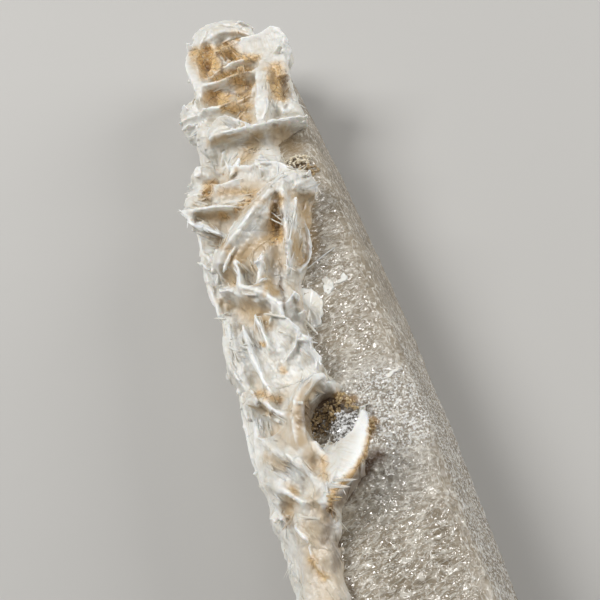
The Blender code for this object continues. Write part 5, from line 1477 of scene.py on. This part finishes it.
grain_finish = clay_stained_grains()
crumb_tree = sowing_tree("sow_crumbs", crumb, grain_finish)
crumbs = []
for number, bed in enumerate(CRUMB_BEDS):
    mound = bed_ball(bed)
    crumbs.append(sown(bed.name + "_loose", mound, crumb_tree, density=13.0, seed=61 + number,
                       least=(0.16, 0.14, 0.14), greatest=(0.52, 0.40, 0.38), lean=1.2))
    bpy.data.objects.remove(mound)
for number, piece in enumerate(crust_pieces):
    points = points_of(piece)
    clay = read(piece.data.attributes["ochre"].data, "value", 1)[:, 0]
    scattered = 0.10 * soft_step(0.1, 0.5, noise(points, 1.8, 78))
    keep(piece, "sow", np.maximum(soft_step(0.25, 0.8, clay), scattered))
    keep(piece, "stain", np.where(clay > 0.25, 0.25 + 0.3 * noise(points, 0.8, 79), -0.4))
    crumbs.append(sown(piece.name.replace("crust", "grains"), piece, crumb_tree, density=1.6,
                       seed=81 + number, least=(0.12, 0.10, 0.10), greatest=(0.40, 0.30, 0.30), lean=1.0))
crumbs = joined("clay_grains", crumbs)


# %% Flakes and needles
FLAKES = """
    shaft_flake_a | 1 5.3  1.5 5.5  2 4.6  1.9 3.9  1.3 3.2  0.8 3.6  1.1 4.4 | 0.14;
    shaft_flake_b | 2.1 4.3  2.9 4.9  3.3 5.5  3.5 4.8  3.2 4.3  2.6 4.2 | 0.13;
    shaft_flake_c | 3.5 -7.6  4.4 -7.4  5.6 -6.8  5.2 -6.7  4.3 -7 | 0.16;
    pale_patch | -2.3 3.6  -1.2 4.9  -0.2 4.3  0.4 3.1  0.3 1.6  -0.5 0.1  -1.2 -0.2  -1.6 1.2
        -2.3 2 | 0.14"""
NEEDLES = """
    ridge_needle | 0.4 12 4 | -1.2 7.9 4 | 0.13;
    cross_needle_a | -2.5 12.4 3.3 | -1 10.8 3.2 | 0.09;
    cross_needle_b | -2.2 13.2 3.4 | -1 11.3 3.2 | 0.07;
    low_needle | -5.4 1 3.2 | -3.4 -0.2 3.4 | 0.14;
    patch_needle | -2.2 1.6 0.6 | -1 -1 0.25 | 0.12;
    shaft_needle | -0.6 6.75 0.04 | 3.4 8.8 0.02 | 0.08"""
# share of the way out from the middle, and the height there as a share of the thickness
FLAKE_PROFILE = ((1.02, 0.5), (0.96, 1.0), (0.8, 0.85), (0.55, 0.8), (0.3, 0.85), (0.06, 0.85))
FLAKE_ROOT = 0.3           # mm that a flake's edge reaches down into the shaft


def flake(name, outline, thick):
    """A thin plate with a chipped edge and a slightly sunken middle, lying on the shaft's front face.

    Its outline is given by places on the face, in mm.
    """
    outline = np.reshape(outline, (-1, 2))
    closed = np.vstack([outline, outline[:1]])
    run = np.linspace(0.0, len(outline), 12 * len(outline), endpoint=False)
    edge = on_line(closed, np.arange(len(closed)), run)
    spots = np.column_stack([edge, np.zeros(len(edge))])
    edge = edge + 0.16 * np.stack([noise(spots, 0.5, 91), noise(spots, 0.5, 92)], axis=1)
    middle = edge.mean(axis=0)
    levels = []
    for share, lift in ((1.0, -FLAKE_ROOT), *((share, rise * thick) for share, rise in FLAKE_PROFILE)):
        flat = middle + (edge - middle) * share
        height = np.array([face_height(x, y) for x, y in flat]) + lift
        at = np.column_stack([flat, height])
        at[:, 2] += (0.6 * thick if lift > 0.0 else 0.0) * noise(at, 0.35, 93)
        levels.append(at)
    points, faces = tube(np.array(levels), levels[0].mean(axis=0), levels[-1].mean(axis=0))
    return mesh_piece(name, points, turned_over(faces))


def needle(name, start, end, half):
    """A long thin crystal from one place to another, its ends tapering; half is half its thickness."""
    start, end = place(*start), place(*end)
    ahead = unit(end - start)
    side = unit(np.cross(ahead, [0.0, 0.0, 1.0]))
    rise = np.cross(side, ahead)
    rings = []
    for share in np.linspace(0.0, 1.0, 24):
        middle = start + (end - start) * share
        middle = middle + 0.5 * half * side * float(noise(middle[None], 1.4, 95)[0])
        thick = half * (0.25 + 0.75 * min(1.0, 7.0 * share, 7.0 * (1.0 - share)))
        rings.append([middle + thick * (side * math.cos(angle) + rise * math.sin(angle))
                      for angle in np.arange(6) * math.pi / 3.0])
    points, faces = tube(np.array(rings), start, end)
    return mesh_piece(name, points, turned_over(faces))


small_bits = [flake(*row) for row in rows_of(FLAKES)] + [needle(*row) for row in rows_of(NEEDLES)]
for piece in small_bits:
    piece.data.materials.append(crust_finish)
loose_bits = joined("flakes_and_needles", small_bits)
print("flakes and needles:", triangles_of(loose_bits), "triangles")

# %% [markdown]
# ## Floor, light and camera
# A floater has no base: it lies on its flat back face. On a plain pale floor a soft light from the
# far left and a weaker one from the right, with a pale room all round, show the blades without hard
# shadows. A small third lamp is seen in glints only.

# %% Floor and lights
bpy.ops.mesh.primitive_plane_add(size=3.0)
floor = bpy.context.object
floor.name = "floor"
floor_material, floor_tree, floor_shader = start_material("pale_paper")
feed(floor_tree, floor_shader, {"Base Color": colour("C2C0BC"), "Roughness": 0.9})
floor.data.materials.append(floor_material)


def soft_light(name, spot, size, power, glints_only=False):
    """A square lamp aimed at the object; one for glints only lights nothing else."""
    lamp = bpy.data.lights.new(name, "AREA")
    lamp.size = size
    lamp.energy = power
    made = linked(name, lamp)
    made.visible_diffuse = not glints_only
    made.location = spot
    made.rotation_euler = (Vector((0.0, 0.0, 0.01)) - Vector(spot)).to_track_quat("-Z", "Y").to_euler()


soft_light("key", (-0.20, 0.13, 0.27), size=0.16, power=0.92)
soft_light("fill", (0.26, 0.02, 0.16), size=0.20, power=0.46)
soft_light("glint", (0.07, 0.15, 0.31), size=0.05, power=0.80, glints_only=True)
world = bpy.data.worlds.new("room")
bpy.context.scene.world = world
world.use_nodes = True
feed(world.node_tree, world.node_tree.nodes["Background"],
     {"Color": (1.0, 1.0, 1.0, 1.0), "Strength": 0.25})
bpy.context.scene.view_settings.view_transform = "Standard"

# %% Camera
UP = Vector((0.0, 0.0, 1.0))
CAMERA_TURN = math.radians(-2.0)
CAMERA_RISE = math.radians(58.0)
CAMERA_ROLL = math.radians(-14.0)
CAMERA_SPOT = np.array([-3.3, -43.6, 87.8])

level_back = Vector((math.sin(CAMERA_TURN), -math.cos(CAMERA_TURN), 0.0))
back = math.cos(CAMERA_RISE) * level_back + math.sin(CAMERA_RISE) * UP
right = UP.cross(back).normalized()
upward = back.cross(right)
rolled_right = math.cos(CAMERA_ROLL) * right + math.sin(CAMERA_ROLL) * upward
rolled_up = math.cos(CAMERA_ROLL) * upward - math.sin(CAMERA_ROLL) * right
lens = bpy.data.cameras.new("camera")
lens.lens = 54.0
lens.sensor_width = 36.0
lens.clip_start = 0.001
camera = linked("camera", lens)
camera.matrix_world = Matrix((rolled_right, rolled_up, back)).transposed().to_4x4()
camera.location = (CAMERA_SPOT + BOX_SHIFT) * MM
bpy.context.scene.camera = camera

# %% Hand the pieces to the frame
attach(shaft_skin, "root")
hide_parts("shaft")
for piece in (*crust_pieces, *splinters, crumbs, loose_bits):
    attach(piece, "root")
    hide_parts("blade_crust")
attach(druse, "root")
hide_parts("hollow_druse")
